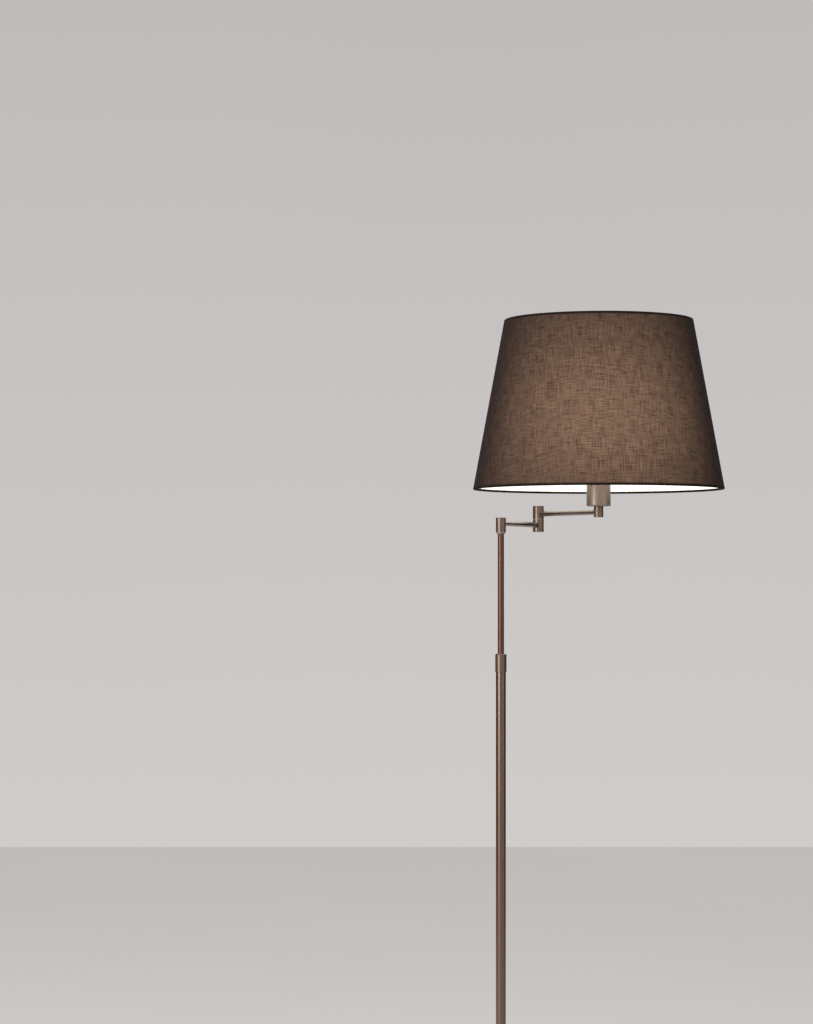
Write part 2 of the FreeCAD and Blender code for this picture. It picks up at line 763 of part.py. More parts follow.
def make_lampholder():
    """Terminal base, threaded sleeve and insert of a lampholder for a 27 mm screw cap."""
    dome_foot = "(cup_wall + holder_boss_height)"
    dome_top = f"({dome_foot} + holder_dome_height)"
    inner = "(sleeve_bore_radius + contact_strip)"
    base = turned_body("lampholder_base", [
        ("stud_radius", "cup_wall"),
        ("holder_boss_radius", "cup_wall"),
        ("holder_boss_radius", dome_foot),
        ("holder_radius", dome_top),
        ("holder_radius", "holder_base_top"),
        (inner, "holder_base_top"),
        (inner, dome_top),
        ("stud_radius", f"{dome_foot} + nipple_seat"),
    ])
    place(base, x=HEAD_X, y=HEAD_Y, z=CUP_FOOT)
    sleeve_top = "sleeve_height"
    sleeve = turned_body("lampholder_sleeve", [
        ("contact_width", "0"),
        ("holder_radius", "0"),
        ("holder_radius", sleeve_top),
        ("sleeve_bore_radius", sleeve_top),
        ("sleeve_bore_radius", "sleeve_floor"),
        ("contact_width", "sleeve_floor"),
    ])
    place(sleeve, x=HEAD_X, y=HEAD_Y, z=f"({CUP_FOOT} + holder_base_top)")
    insert = turned_body("holder_insert", ring_points(
        "0", "(sleeve_bore_radius - thread_gap)", "0", "insert_height"))
    insert_foot = f"({CUP_FOOT} + holder_base_top + sleeve_floor)"
    place(insert, x=HEAD_X, y=HEAD_Y, z=insert_foot)
    shell = turned_body("holder_shell", ring_points(
        "(contact_shell_radius - contact_shell_wall)", "contact_shell_radius",
        "0", "contact_shell_height"))
    place(shell, x=HEAD_X, y=HEAD_Y, z=f"({insert_foot} + insert_height)")


def make_centre_contact():
    """A sprung brass tongue: a foot on the insert, a rising leaf and a flat tip under the bulb."""
    body = new_body("centre_contact")
    sketch = sketch_on(body, "strip_side", "XZ_Plane")
    foot_end = "-(contact_width * 1.5)"
    draw_lines(sketch, [
        (foot_end, "0"),
        ("contact_width", "0"),
        ("contact_width", "contact_strip"),
        (f"{foot_end} + 2 * contact_strip", "contact_strip"),
        ("-contact_width / 2", "contact_lift - contact_strip"),
        ("contact_width / 2", "contact_lift - contact_strip"),
        ("contact_width / 2", "contact_lift"),
        ("-contact_width / 2 - contact_strip / 2", "contact_lift"),
        (foot_end, "contact_strip"),
    ])
    strip = body.newObject("PartDesign::Pad", "strip")
    strip.Profile = sketch
    strip.SideType = "Symmetric"
    strip.setExpression("Length", bound("contact_width"))
    doc.recompute()
    place(body, x=HEAD_X, y=HEAD_Y, z=f"({CUP_FOOT} + holder_base_top + sleeve_floor + insert_height)")


def make_shade_rings():
    """The two threaded rings that clamp the shade's fitter ring on the lampholder."""
    fitter = f"({CUP_FOOT} + fitter_above_cup)"
    for label, foot in (("lower_shade_ring", f"({fitter} - shade_ring_height)"),
                        ("upper_shade_ring", f"({fitter} + fitter_thickness)")):
        ring = turned_body(label, ring_points(
            "holder_radius + thread_gap", "shade_ring_radius", "0", "shade_ring_height"))
        for height in ("0", "shade_ring_height"):
            round_edges_at(ring, "Chamfer", "cap_chamfer", "shade_ring_radius", height)
        place(ring, x=HEAD_X, y=HEAD_Y, z=foot)


# ------------------------------------------------------------------ shade, heights above its foot

WIRE_Z = "(fabric_thickness + glue_line + wire_radius)"
SKIN = "(fabric_thickness + glue_line + lining_thickness)"
WIRE_INSET = f"({SKIN} + 2 * glue_line + wire_radius)"
HEM_INSET = f"({WIRE_INSET} + wire_radius + 2 * glue_line + fabric_thickness)"


def shade_radius(inset, height):
    """The radius of the tapered skin at a height, inside its outer face by inset."""
    return f"(shade_bottom_radius - {inset} - {SHADE_SLOPE} * {height})"


def make_shade_skins():
    top = "shade_height"
    low_fold = "fabric_thickness"
    high_fold = "(shade_height - fabric_thickness)"
    low_hem = "hem_depth"
    high_hem = "(shade_height - hem_depth)"
    thick = "fabric_thickness"
    hem_face = f"({HEM_INSET} - fabric_thickness)"
    fabric = turned_body("shade_fabric", [
        (shade_radius("0", "0"), "0"),
        (shade_radius("0", top), top),
        (shade_radius(HEM_INSET, top), top),
        (shade_radius(HEM_INSET, high_hem), high_hem),
        (shade_radius(hem_face, high_hem), high_hem),
        (shade_radius(hem_face, high_fold), high_fold),
        (shade_radius(thick, high_fold), high_fold),
        (shade_radius(thick, low_fold), low_fold),
        (shade_radius(hem_face, low_fold), low_fold),
        (shade_radius(hem_face, low_hem), low_hem),
        (shade_radius(HEM_INSET, low_hem), low_hem),
        (shade_radius(HEM_INSET, "0"), "0"),
    ])
    notch = sketch_on(fabric, "spoke_notch", "YZ_Plane", shade_radius("(2 * " + HEM_INSET + ")", "0"))
    half = "(spoke_slot / 2)"
    above_hem = "(hem_depth + glue_line)"
    draw_lines(notch, [(half, low_fold), (half, above_hem),
                       (f"-{half}", above_hem), (f"-{half}", low_fold)])
    reach = f"(2 * {HEM_INSET} - {WIRE_INSET})"
    cut = pocket(fabric, notch, reach, forward=True)
    repeat_round(fabric, [cut], SPOKES)
    place(fabric, x=HEAD_X, y=HEAD_Y, z=SHADE_FOOT, turn="spoke_turn")

    outer = "(fabric_thickness + glue_line)"
    low = f"({low_fold} + glue_line)"
    high = f"({high_fold} - glue_line)"
    lining = turned_body("shade_lining", [
        (shade_radius(SKIN, low), low),
        (shade_radius(outer, low), low),
        (shade_radius(outer, high), high),
        (shade_radius(SKIN, high), high),
    ])
    place(lining, x=HEAD_X, y=HEAD_Y, z=SHADE_FOOT, turn="spoke_turn")


def make_shade_wires():
    """The plain top ring, and the carrier: bottom ring, three spokes and fitter ring, welded."""
    high = f"(shade_height - {WIRE_Z})"
    top_ring = doc.addObject("Part::Torus", "shade_top_ring")
    top_ring.Label = "shade_top_ring"
    top_ring.setExpression("Radius1", bound(shade_radius(WIRE_INSET, high)))
    top_ring.setExpression("Radius2", bound("wire_radius"))
    subparts.append(top_ring)
    place(top_ring, x=HEAD_X, y=HEAD_Y, z=f"({SHADE_FOOT} + {high})")

    ring_radius = shade_radius(WIRE_INSET, WIRE_Z)
    fitter_foot = "(fitter_above_cup - shade_above_cup)"
    carrier = turned_body("shade_carrier", ring_points(
        "fitter_hole_radius", "fitter_radius", fitter_foot, f"({fitter_foot} + fitter_thickness)"))
    hoop = sketch_on(carrier, "hoop_section", "XZ_Plane")
    draw_circle(hoop, "wire_radius", ring_radius, WIRE_Z)
    spoke_z = f"({fitter_foot} + fitter_thickness / 2)"
    route = sketch_on(carrier, "spoke_route", "XZ_Plane")
    start = "(fitter_radius - wire_radius)"
    draw_lines(route, [(start, spoke_z), ("spoke_flat", spoke_z), (ring_radius, WIRE_Z)], closed=False)
    section = sketch_on(carrier, "spoke_section", "YZ_Plane", start)
    draw_circle(section, "wire_radius", "0", spoke_z)
    spoke = carrier.newObject("PartDesign::AdditivePipe", "spoke")
    spoke.Profile = section
    spoke.Spine = (route, ["Edge1", "Edge2"])
    spoke.Transition = "Round corner"
    doc.recompute()
    repeat_round(carrier, [spoke], SPOKES)
    revolve(carrier, hoop)
    place(carrier, x=HEAD_X, y=HEAD_Y, z=SHADE_FOOT, turn="spoke_turn")


# ------------------------------------------------------------------ bulb


def make_bulb():
    """A screw-cap bulb with a round opal globe, heights from the cap's tip."""
    tip = "(contact_width / 2)"
    insulator = "(contact_width / 2)"
    cap = turned_body("bulb_cap", [
        ("0", "0"),
        (tip, "0"),
        ("(bulb_cap_radius - 3 * contact_strip)", insulator),
        ("bulb_cap_radius", f"({insulator} + contact_strip)"),
        ("bulb_cap_radius", "bulb_cap_height"),
        ("0", "bulb_cap_height"),
    ])
    cap_foot = f"({CUP_FOOT} + holder_base_top + sleeve_floor + insert_height + contact_lift)"
    place(cap, x=HEAD_X, y=HEAD_Y, z=cap_foot)

    globe = new_body("bulb_globe")
    sketch = sketch_on(globe, "glass_section", "XZ_Plane")
    draw_globe(sketch)
    revolve(globe, sketch)
    place(globe, x=HEAD_X, y=HEAD_Y, z=f"({cap_foot} + bulb_cap_height)")


def draw_globe(sketch):
    """The glass wall's half section: outer arc and neck, foot, inner neck and arc, and the crown."""
    centre = "(bulb_length - bulb_cap_height - bulb_radius)"
    neck = "bulb_neck_radius"
    inner_neck = "(bulb_neck_radius - bulb_glass)"
    outer_arc, outer_neck, foot, inner_side, inner_arc, crown = range(6)
    start, end, middle, up_axis, level_axis = 1, 2, 3, -2, -1

    def arc(neck_formula, radius_formula):
        radius = size(radius_formula)
        circle = Part.Circle(Vector(0, size(centre), 0), Vector(0, 0, 1), radius)
        return Part.ArcOfCircle(circle, -math.acos(size(neck_formula) / radius), math.pi / 2)

    def pin_arc(index, neck_formula, radius_formula):
        pin_point(sketch, index, middle, "0", centre)
        datum = sketch.addConstraint(Sketcher.Constraint("Radius", index, size(radius_formula)))
        sketch.setExpression(f"Constraints[{datum}]", bound(radius_formula))
        sketch.addConstraint(Sketcher.Constraint("PointOnObject", index, end, up_axis))
        datum = sketch.addConstraint(
            Sketcher.Constraint("DistanceX", level_axis, 1, index, start, size(neck_formula)))
        sketch.setExpression(f"Constraints[{datum}]", bound(neck_formula))

    outer = arc(neck, "bulb_radius")
    inner = arc(inner_neck, "(bulb_radius - bulb_glass)")
    neck_foot = Vector(size(neck), 0, 0)
    inner_foot = Vector(size(inner_neck), 0, 0)
    for shape in (outer, Part.LineSegment(outer.StartPoint, neck_foot),
                  Part.LineSegment(neck_foot, inner_foot),
                  Part.LineSegment(inner_foot, inner.StartPoint), inner,
                  Part.LineSegment(inner.EndPoint, outer.EndPoint)):
        sketch.addGeometry(shape, False)
    for first, first_end, second, second_end in (
            (outer_arc, start, outer_neck, start), (outer_neck, end, foot, start),
            (foot, end, inner_side, start), (inner_side, end, inner_arc, start),
            (inner_arc, end, crown, start), (crown, end, outer_arc, end)):
        sketch.addConstraint(Sketcher.Constraint("Coincident", first, first_end, second, second_end))
    pin_arc(outer_arc, neck, "bulb_radius")
    pin_arc(inner_arc, inner_neck, "(bulb_radius - bulb_glass)")
    pin_point(sketch, foot, start, neck, "0")
    pin_point(sketch, foot, end, inner_neck, "0")


# ------------------------------------------------------------------ build, test and write


def check_model():
    """Stops on any failed object, broken shape or sub-part of more than one solid."""
    doc.recompute()
    for item in doc.Objects:
        if "Invalid" in item.State or "Error" in item.State:
            raise RuntimeError(f"{item.Label} failed: {item.State}")
    for body in subparts:
        if body.Shape.isNull() or not body.Shape.isValid():
            raise RuntimeError(f"{body.Label} has no valid shape")
        if len(body.Shape.Solids) != 1:
            raise RuntimeError(f"{body.Label} has {len(body.Shape.Solids)} solids")


def write_parts():
    os.makedirs("parts", exist_ok=True)
    for body in subparts:
        body.Shape.exportStep(f"parts/{body.Label}.step")


for make in (make_base_pad, make_base_shell, make_base_ballast, make_cord_grommet,
             make_base_fastening, make_pole_foot, make_outer_pole, make_clamp, make_inner_pole,
             make_swivel, make_root_barrel, make_lower_arm_tube, make_elbow_lower,
             make_elbow_upper, make_elbow_pin, make_upper_arm_tube, make_knuckle, make_cup,
             make_lampholder, make_centre_contact, make_shade_rings, make_shade_skins,
             make_shade_wires, make_bulb):
    make()
check_model()
write_parts()
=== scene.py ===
import math

import bmesh
import bpy
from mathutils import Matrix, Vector


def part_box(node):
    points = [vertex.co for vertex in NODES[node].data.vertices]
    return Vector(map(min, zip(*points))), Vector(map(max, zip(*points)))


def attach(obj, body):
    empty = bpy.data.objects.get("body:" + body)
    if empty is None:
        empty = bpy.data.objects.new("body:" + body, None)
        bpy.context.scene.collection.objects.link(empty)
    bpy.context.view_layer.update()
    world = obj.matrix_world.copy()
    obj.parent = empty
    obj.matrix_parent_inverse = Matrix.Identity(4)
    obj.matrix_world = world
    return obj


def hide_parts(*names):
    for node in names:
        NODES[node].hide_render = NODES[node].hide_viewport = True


bl_info = {
    "name": "Bridge Floor Lamp",
    "version": (1, 0, 0),
    "blender": (4, 5, 0),
    "location": "View3D > Sidebar > Floor Lamp",
    "description": "Finishes, linen shade and studio for the bridge floor lamp",
    "category": "Object",
}

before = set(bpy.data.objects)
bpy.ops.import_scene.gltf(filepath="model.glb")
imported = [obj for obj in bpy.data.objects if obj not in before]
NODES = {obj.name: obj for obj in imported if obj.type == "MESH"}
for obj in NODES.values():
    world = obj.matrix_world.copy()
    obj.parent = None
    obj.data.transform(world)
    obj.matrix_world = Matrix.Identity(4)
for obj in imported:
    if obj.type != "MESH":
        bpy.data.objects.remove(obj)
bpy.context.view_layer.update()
MM = 0.001


def node_centre(name):
    """The middle of a packed part's box."""
    low, high = (Vector(corner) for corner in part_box(name))
    return (low + high) / 2


def node_half_width(name):
    """Half the width of a packed part's box."""
    low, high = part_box(name)
    return (high[0] - low[0]) / 2


ELBOW = node_centre("elbow_pin")
HEAD = node_centre("cup")
BULB = node_centre("bulb_globe")
SHADE_FOOT, SHADE_TOP = (corner[2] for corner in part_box("shade_fabric"))
SHADE_TOP_RADIUS = max(
    math.hypot(corner.co.x - HEAD.x, corner.co.y - HEAD.y)
    for corner in NODES["shade_fabric"].data.vertices
    if corner.co.z > SHADE_TOP - 0.1 * MM)
LOWER_ARM_TURN = math.atan2(ELBOW.y, ELBOW.x)
UPPER_ARM_TURN = math.atan2(HEAD.y - ELBOW.y, HEAD.x - ELBOW.x)
LAMP_MIDDLE = Vector((0.1, 0.0, 1.15))

HEM_FOLD = 1.3 * MM        # radius of the cloth's fold round a wire
HEM_DARK = 2.2 * MM        # up to here the doubled hem lets no light through
HEM_CLEAR = 5.5 * MM       # from here the cloth is single
COVER_ROWS = 24
COVER_COLUMNS = 240
SEAM_STEPS = 6
SPOKE_TURNS = (90, 210, 330, 450)   # the spokes' angles round the shade, from its back
GRIP_SHARE = 0.84          # a grip's height, as a share of its ring's
CORNER_RADIUS = 1.6        # the studio's rounded corners
CORNER_STEPS = 12
WALL_HEIGHT = 6.0


# ------------------------------------------------------------------ settings


class BronzeSettings(bpy.types.PropertyGroup):
    """The satin bronze of the stand and the arms."""
    tube_colour: bpy.props.FloatVectorProperty(
        name="Tube Bronze", description="Colour of the plated tubes", subtype="COLOR",
        size=3, min=0, max=1, default=(0.108, 0.046, 0.021))
    arm_colour: bpy.props.FloatVectorProperty(
        name="Arm Bronze", description="Colour of the two arms", subtype="COLOR",
        size=3, min=0, max=1, default=(0.120, 0.084, 0.062))
    fitting_colour: bpy.props.FloatVectorProperty(
        name="Fitting Bronze", description="Colour of the turned fittings", subtype="COLOR",
        size=3, min=0, max=1, default=(0.140, 0.092, 0.064))
    cup_colour: bpy.props.FloatVectorProperty(
        name="Cup Bronze", description="Colour of the spun cup", subtype="COLOR",
        size=3, min=0, max=1, default=(0.200, 0.150, 0.118))
    tube_roughness: bpy.props.FloatProperty(
        name="Tube Roughness", description="Roughness of the drawn tubes",
        subtype="FACTOR", min=0, max=1, default=0.36)
    turned_roughness: bpy.props.FloatProperty(
        name="Turned Roughness", description="Roughness of the lathe-turned fittings",
        subtype="FACTOR", min=0, max=1, default=0.47)
    lacquer: bpy.props.FloatProperty(
        name="Lacquer", description="Weight of the clear satin lacquer",
        subtype="FACTOR", min=0, max=1, default=0.9)
    lacquer_roughness: bpy.props.FloatProperty(
        name="Lacquer Roughness", description="Roughness of the clear lacquer",
        subtype="FACTOR", min=0, max=1, default=0.24)
    grain_pitch: bpy.props.FloatProperty(
        name="Grain Pitch", description="Distance between the fine drawing lines",
        subtype="DISTANCE", unit="LENGTH", min=0.0001, max=0.005, default=0.0005)
    grain_length: bpy.props.FloatProperty(
        name="Grain Length", description="Length of one drawing line",
        subtype="DISTANCE", unit="LENGTH", min=0.001, max=0.5, default=0.06)
    mark_size: bpy.props.FloatProperty(
        name="Mark Size", description="Size of the cloudy handling marks",
        subtype="DISTANCE", unit="LENGTH", min=0.001, max=0.2, default=0.022)


class ShadeSettings(bpy.types.PropertyGroup):
    """The linen cover, its rolled hems and its lining."""
    bottom_radius: bpy.props.FloatProperty(
        name="Bottom Radius", description="Outside radius at the foot",
        subtype="DISTANCE", unit="LENGTH", min=0.05, max=0.5,
        default=node_half_width("shade_fabric"))
    top_radius: bpy.props.FloatProperty(
        name="Top Radius", description="Outside radius at the top",
        subtype="DISTANCE", unit="LENGTH", min=0.05, max=0.5, default=SHADE_TOP_RADIUS)
    height: bpy.props.FloatProperty(
        name="Height", description="Height from foot to top",
        subtype="DISTANCE", unit="LENGTH", min=0.05, max=0.8, default=SHADE_TOP - SHADE_FOOT)
    cloth: bpy.props.FloatProperty(
        name="Cloth Thickness", description="Thickness of the linen",
        subtype="DISTANCE", unit="LENGTH", min=0.0002, max=0.002, default=0.0008)
    hem_inset: bpy.props.FloatProperty(
        name="Hem Inset", description="How far the rolled hem reaches in, round its wire",
        subtype="DISTANCE", unit="LENGTH", min=0.002, max=0.02, default=0.0059)
    hem_depth: bpy.props.FloatProperty(
        name="Hem Depth", description="Height of the folded hem inside the shade",
        subtype="DISTANCE", unit="LENGTH", min=0.002, max=0.02, default=0.0032)
    notch: bpy.props.FloatProperty(
        name="Spoke Notch", description="Width of the snips in the lower hem, for the spokes",
        subtype="DISTANCE", unit="LENGTH", min=0.001, max=0.02, default=0.005)
    seam_width: bpy.props.FloatProperty(
        name="Seam Width", description="Width of the glued overlap at the back",
        subtype="DISTANCE", unit="LENGTH", min=0.002, max=0.03, default=0.010)
    thread_pitch: bpy.props.FloatProperty(
        name="Thread Pitch", description="Distance between the linen's threads",
        subtype="DISTANCE", unit="LENGTH", min=0.0001, max=0.005, default=0.00055)
    linen: bpy.props.FloatVectorProperty(
        name="Linen", description="Colour of the dyed linen", subtype="COLOR",
        size=3, min=0, max=1, default=(0.018, 0.0100, 0.0080))
    glow: bpy.props.FloatVectorProperty(
        name="Glow", description="Colour of the light that comes through the linen",
        subtype="COLOR", size=3, min=0, max=1, default=(0.585, 0.350, 0.222))
    glow_strength: bpy.props.FloatProperty(
        name="Glow Strength", description="How much light comes through level with the bulb",
        min=0, max=4, default=1.60)
    lining_colour: bpy.props.FloatVectorProperty(
        name="Lining", description="Colour of the lit lining", subtype="COLOR",
        size=3, min=0, max=1, default=(1.0, 0.955, 0.90))
    lining_glow: bpy.props.FloatProperty(
        name="Lining Glow", description="Brightness of the lit lining",
        min=0, max=4, default=1.05)


class BulbSettings(bpy.types.PropertyGroup):
    """The opal bulb and the rings under it."""
    light: bpy.props.FloatVectorProperty(
        name="Bulb Light", description="Colour of the bulb's light", subtype="COLOR",
        size=3, min=0, max=1, default=(1.0, 0.86, 0.66))
    strength: bpy.props.FloatProperty(
        name="Bulb Strength", description="Brightness of the lit globe",
        min=0, max=20, default=5.0)
    grip_count: bpy.props.IntProperty(
        name="Grips", description="Number of finger grips round each clamping ring",
        min=6, max=90, default=40)
    grip_width: bpy.props.FloatProperty(
        name="Grip Width", description="Width of one finger grip",
        subtype="DISTANCE", unit="LENGTH", min=0.0002, max=0.006, default=0.0018)
    grip_depth: bpy.props.FloatProperty(
        name="Grip Depth", description="How far a finger grip stands out",
        subtype="DISTANCE", unit="LENGTH", min=0.0001, max=0.002, default=0.0007)


class StudioSettings(bpy.types.PropertyGroup):
    """The camera, the room and the lamps of the studio."""
    camera_place: bpy.props.FloatVectorProperty(
        name="Camera Place", description="Where the camera stands", subtype="TRANSLATION",
        unit="LENGTH", size=3, default=(-0.1497, -4.440, 1.0205))
    lens: bpy.props.FloatProperty(
        name="Lens", description="Focal length in millimetres", min=10, max=300, default=98.4)
    shift: bpy.props.FloatProperty(
        name="Rise", description="Vertical lens shift that keeps the uprights parallel",
        min=-0.5, max=0.5, default=0.0767)
    wall_distance: bpy.props.FloatProperty(
        name="Wall Distance", description="From the lamp to the wall",
        subtype="DISTANCE", unit="LENGTH", min=2, max=20, default=6.696)
    # The lower and upper wall colours make a painted shade, darker towards the top.
    wall_low: bpy.props.FloatVectorProperty(
        name="Lower Wall", description="Colour of the wall near the floor", subtype="COLOR",
        size=3, min=0, max=1, default=(0.630, 0.605, 0.597))
    wall_high: bpy.props.FloatVectorProperty(
        name="Upper Wall", description="Colour of the wall at the top", subtype="COLOR",
        size=3, min=0, max=1, default=(0.520, 0.497, 0.492))
    floor_colour: bpy.props.FloatVectorProperty(
        name="Floor", description="Colour of the floor", subtype="COLOR",
        size=3, min=0, max=1, default=(0.655, 0.630, 0.625))
    key_light: bpy.props.FloatProperty(
        name="Key Light", description="Power of the soft box at the front left",
        subtype="POWER", unit="POWER", min=0, max=500, default=88)
    fill_light: bpy.props.FloatProperty(
        name="Fill Light", description="Power of the soft box at the front right",
        subtype="POWER", unit="POWER", min=0, max=500, default=9)
    top_light: bpy.props.FloatProperty(
        name="Top Light", description="Power of the soft box overhead",
        subtype="POWER", unit="POWER", min=0, max=500, default=14)
    room_light: bpy.props.FloatProperty(
        name="Room Light", description="Strength of the even light from the room",
        min=0, max=4, default=0.78)


SETTINGS = {
    "lamp_bronze": BronzeSettings,
    "lamp_shade": ShadeSettings,
    "lamp_bulb": BulbSettings,
    "lamp_studio": StudioSettings,
}


# ------------------------------------------------------------------ node trees


class Tree:
    """Adds nodes to one tree and joins them. A value is a number, a colour, a node or a socket."""

    def __init__(self, tree):
        self.tree = tree

    def feed(self, socket, value):
        if isinstance(value, bpy.types.Node):
            value = value.outputs[0]
        if isinstance(value, bpy.types.NodeSocket):
            self.tree.links.new(value, socket)
        else:
            socket.default_value = value

    def feed_all(self, node, **inputs):
        """Feeds inputs by name; Base_Color stands for "Base Color"."""
        for name, value in inputs.items():
            self.feed(node.inputs[name.replace("_", " ")], value)

    def add(self, kind, inputs=None, **settings):
        node = self.tree.nodes.new(kind)
        for name, value in settings.items():
            setattr(node, name, value)
        for socket, value in (inputs or {}).items():
            self.feed(node.inputs[socket], value)
        return node

    def group(self, tree, **inputs):
        node = self.add("ShaderNodeGroup", node_tree=tree)
        self.feed_all(node, **inputs)
        return node.outputs

    def math(self, operation, first, second=0.0, clamp=False):
        return self.add("ShaderNodeMath", {0: first, 1: second},
                        operation=operation, use_clamp=clamp).outputs[0]

    def plus(self, first, second):
        return self.math("ADD", first, second)

    def minus(self, first, second):
        return self.math("SUBTRACT", first, second)

    def times(self, first, second):
        return self.math("MULTIPLY", first, second)

    def ratio(self, first, second):
        return self.math("DIVIDE", first, second)

    def linear(self, value, slope, start):
        return self.add("ShaderNodeMath", {0: value, 1: slope, 2: start},
                        operation="MULTIPLY_ADD").outputs[0]

    def span(self, value, low, high, to_low=0.0, to_high=1.0, smooth=True):
        """A value brought from one range to another, held at its ends."""
        return self.add("ShaderNodeMapRange", {
            "Value": value, "From Min": low, "From Max": high, "To Min": to_low, "To Max": to_high},
            interpolation_type="SMOOTHSTEP" if smooth else "LINEAR").outputs[0]

    def parts(self, vector):
        return self.add("ShaderNodeSeparateXYZ", {0: vector}).outputs

    def vector(self, x=0.0, y=0.0, z=0.0):
        return self.add("ShaderNodeCombineXYZ", {0: x, 1: y, 2: z}).outputs[0]

    def length(self, vector):
        return self.add("ShaderNodeVectorMath", {0: vector}, operation="LENGTH").outputs["Value"]

    def in_steps(self, vector, size):
        """A place counted in steps of a size."""
        return self.add("ShaderNodeVectorMath", {
            0: vector, "Scale": self.ratio(1.0, size)}, operation="SCALE").outputs[0]

    def noise(self, place, scale=1.0, detail=2.0, roughness=0.5, distortion=0.0, flat=False):
        """The outputs of a noise texture, over a plane if it is flat."""
        return self.add("ShaderNodeTexNoise", {
            "Vector": place, "Scale": scale, "Detail": detail, "Roughness": roughness,
            "Distortion": distortion}, noise_dimensions="2D" if flat else "3D").outputs

    def mix(self, share, first, second, blend="MIX"):
        node = self.add("ShaderNodeMix", data_type="RGBA", blend_type=blend)
        self.feed(node.inputs["Factor"], share)
        self.feed(node.inputs[6], first)
        self.feed(node.inputs[7], second)
        return node.outputs[2]

    def bump(self, shader, height, strength, distance):
        """Raises a shader's surface by a height, over a distance in metres."""
        self.feed(shader.inputs["Normal"], self.add("ShaderNodeBump", {
            "Height": height, "Strength": strength, "Distance": distance}))


def colour(rgb):
    return (rgb[0], rgb[1], rgb[2], 1.0)


def scaled(rgb, factor):
    return colour([channel * factor for channel in rgb])


def new_group(name, inputs, outputs):
    """An empty shader group. Inputs are (name, socket kind, default), outputs (name, kind)."""
    tree = bpy.data.node_groups.new(name, "ShaderNodeTree")
    for label, kind, default in inputs:
        socket = tree.interface.new_socket(
            label, in_out="INPUT", socket_type="NodeSocket" + kind)
        if default is not None:
            socket.default_value = default
    for label, kind in outputs:
        tree.interface.new_socket(label, in_out="OUTPUT", socket_type="NodeSocket" + kind)
    return with_ends(tree)


def with_ends(tree):
    """A tree, its helper, and the sockets of its new input and output nodes."""
    return (tree, Tree(tree), tree.nodes.new("NodeGroupInput").outputs,
            tree.nodes.new("NodeGroupOutput").inputs)


def once(name, build):
    """The node group of that name, built when it is first asked for."""
    return bpy.data.node_groups.get(name) or build(name)


def put_lines(nodes, put_out, noise):
    """Gives a noise out as clear lines and as a height."""
    nodes.feed(put_out["Lines"], nodes.span(noise, 0.32, 0.68))
    nodes.feed(put_out["Height"], noise)


def drawn_grain(name):
    """Fine lines along X, as a drawn and brushed tube has."""
    tree, nodes, given, put_out = new_group(
        name,
        [("Vector", "Vector", None), ("Pitch", "Float", 0.0005), ("Length", "Float", 0.06)],
        [("Lines", "Float"), ("Height", "Float")])
    x, y, z = nodes.parts(given["Vector"])
    place = nodes.vector(nodes.ratio(x, given["Length"]), nodes.ratio(y, given["Pitch"]),
                         nodes.ratio(z, given["Pitch"]))
    put_lines(nodes, put_out, nodes.noise(place, detail=3.0, roughness=0.6)["Fac"])
    return tree


def lathe_marks(name):
    """Fine rings round Z, as a turned or spun surface has."""
    tree, nodes, given, put_out = new_group(
        name,
        [("Vector", "Vector", None), ("Pitch", "Float", 0.0004)],
        [("Lines", "Float"), ("Height", "Float")])
    x, y, z = nodes.parts(given["Vector"])
    radius = nodes.length(nodes.vector(x, y))
    turn = nodes.math("ARCTAN2", y, x)
    place = nodes.vector(nodes.ratio(radius, given["Pitch"]), nodes.ratio(z, given["Pitch"]),
                         nodes.math("COSINE", turn))
    put_lines(nodes, put_out, nodes.noise(place, roughness=0.55)["Fac"])
    return tree


def handling_marks(name):
    """Cloudy patches and a few fine scratches from years of handling."""
    tree, nodes, given, put_out = new_group(
        name,
        [("Vector", "Vector", None), ("Size", "Float", 0.022)],
        [("Clouds", "Float"), ("Scratches", "Float")])
    place = nodes.in_steps(given["Vector"], given["Size"])
    clouds = nodes.noise(place, detail=4.0, roughness=0.55, distortion=0.4)["Fac"]
    nodes.feed(put_out["Clouds"], nodes.span(clouds, 0.30, 0.70))
    bent = nodes.noise(place, scale=0.6, detail=1.0)["Color"]
    lifted = nodes.add("ShaderNodeVectorMath", {0: place, 1: bent}, operation="ADD")
    cells = nodes.add("ShaderNodeTexVoronoi", {
        "Vector": lifted, "Scale": 1.7, "Randomness": 1.0}, feature="DISTANCE_TO_EDGE")
    line = nodes.span(cells.outputs["Distance"], 0.004, 0.016, 1.0, 0.0)
    nodes.feed(put_out["Scratches"], nodes.times(line, nodes.span(clouds, 0.52, 0.62)))
    return tree


def pitted_skin(name):
    """Small lumps and pits, as cast iron, foam, rubber and powder paint have."""
    tree, nodes, given, put_out = new_group(
        name,
        [("Vector", "Vector", None), ("Size", "Float", 0.001), ("Pits", "Float", 0.5)],
        [("Height", "Float"), ("Shade", "Float")])
    place = nodes.in_steps(given["Vector"], given["Size"])
    lumps = nodes.noise(place, scale=0.6, detail=3.0)["Fac"]
    cells = nodes.add("ShaderNodeTexVoronoi", {"Vector": place, "Scale": 1.0}, feature="F1")
    pits = nodes.span(cells.outputs["Distance"], 0.15, 0.55)
    sunk = nodes.times(nodes.minus(1.0, pits), given["Pits"])
    nodes.feed(put_out["Height"], nodes.minus(lumps, sunk))
    wide = nodes.noise(place, scale=0.11, detail=3.0)["Fac"]
    nodes.feed(put_out["Shade"], nodes.span(wide, 0.3, 0.7))
    return tree


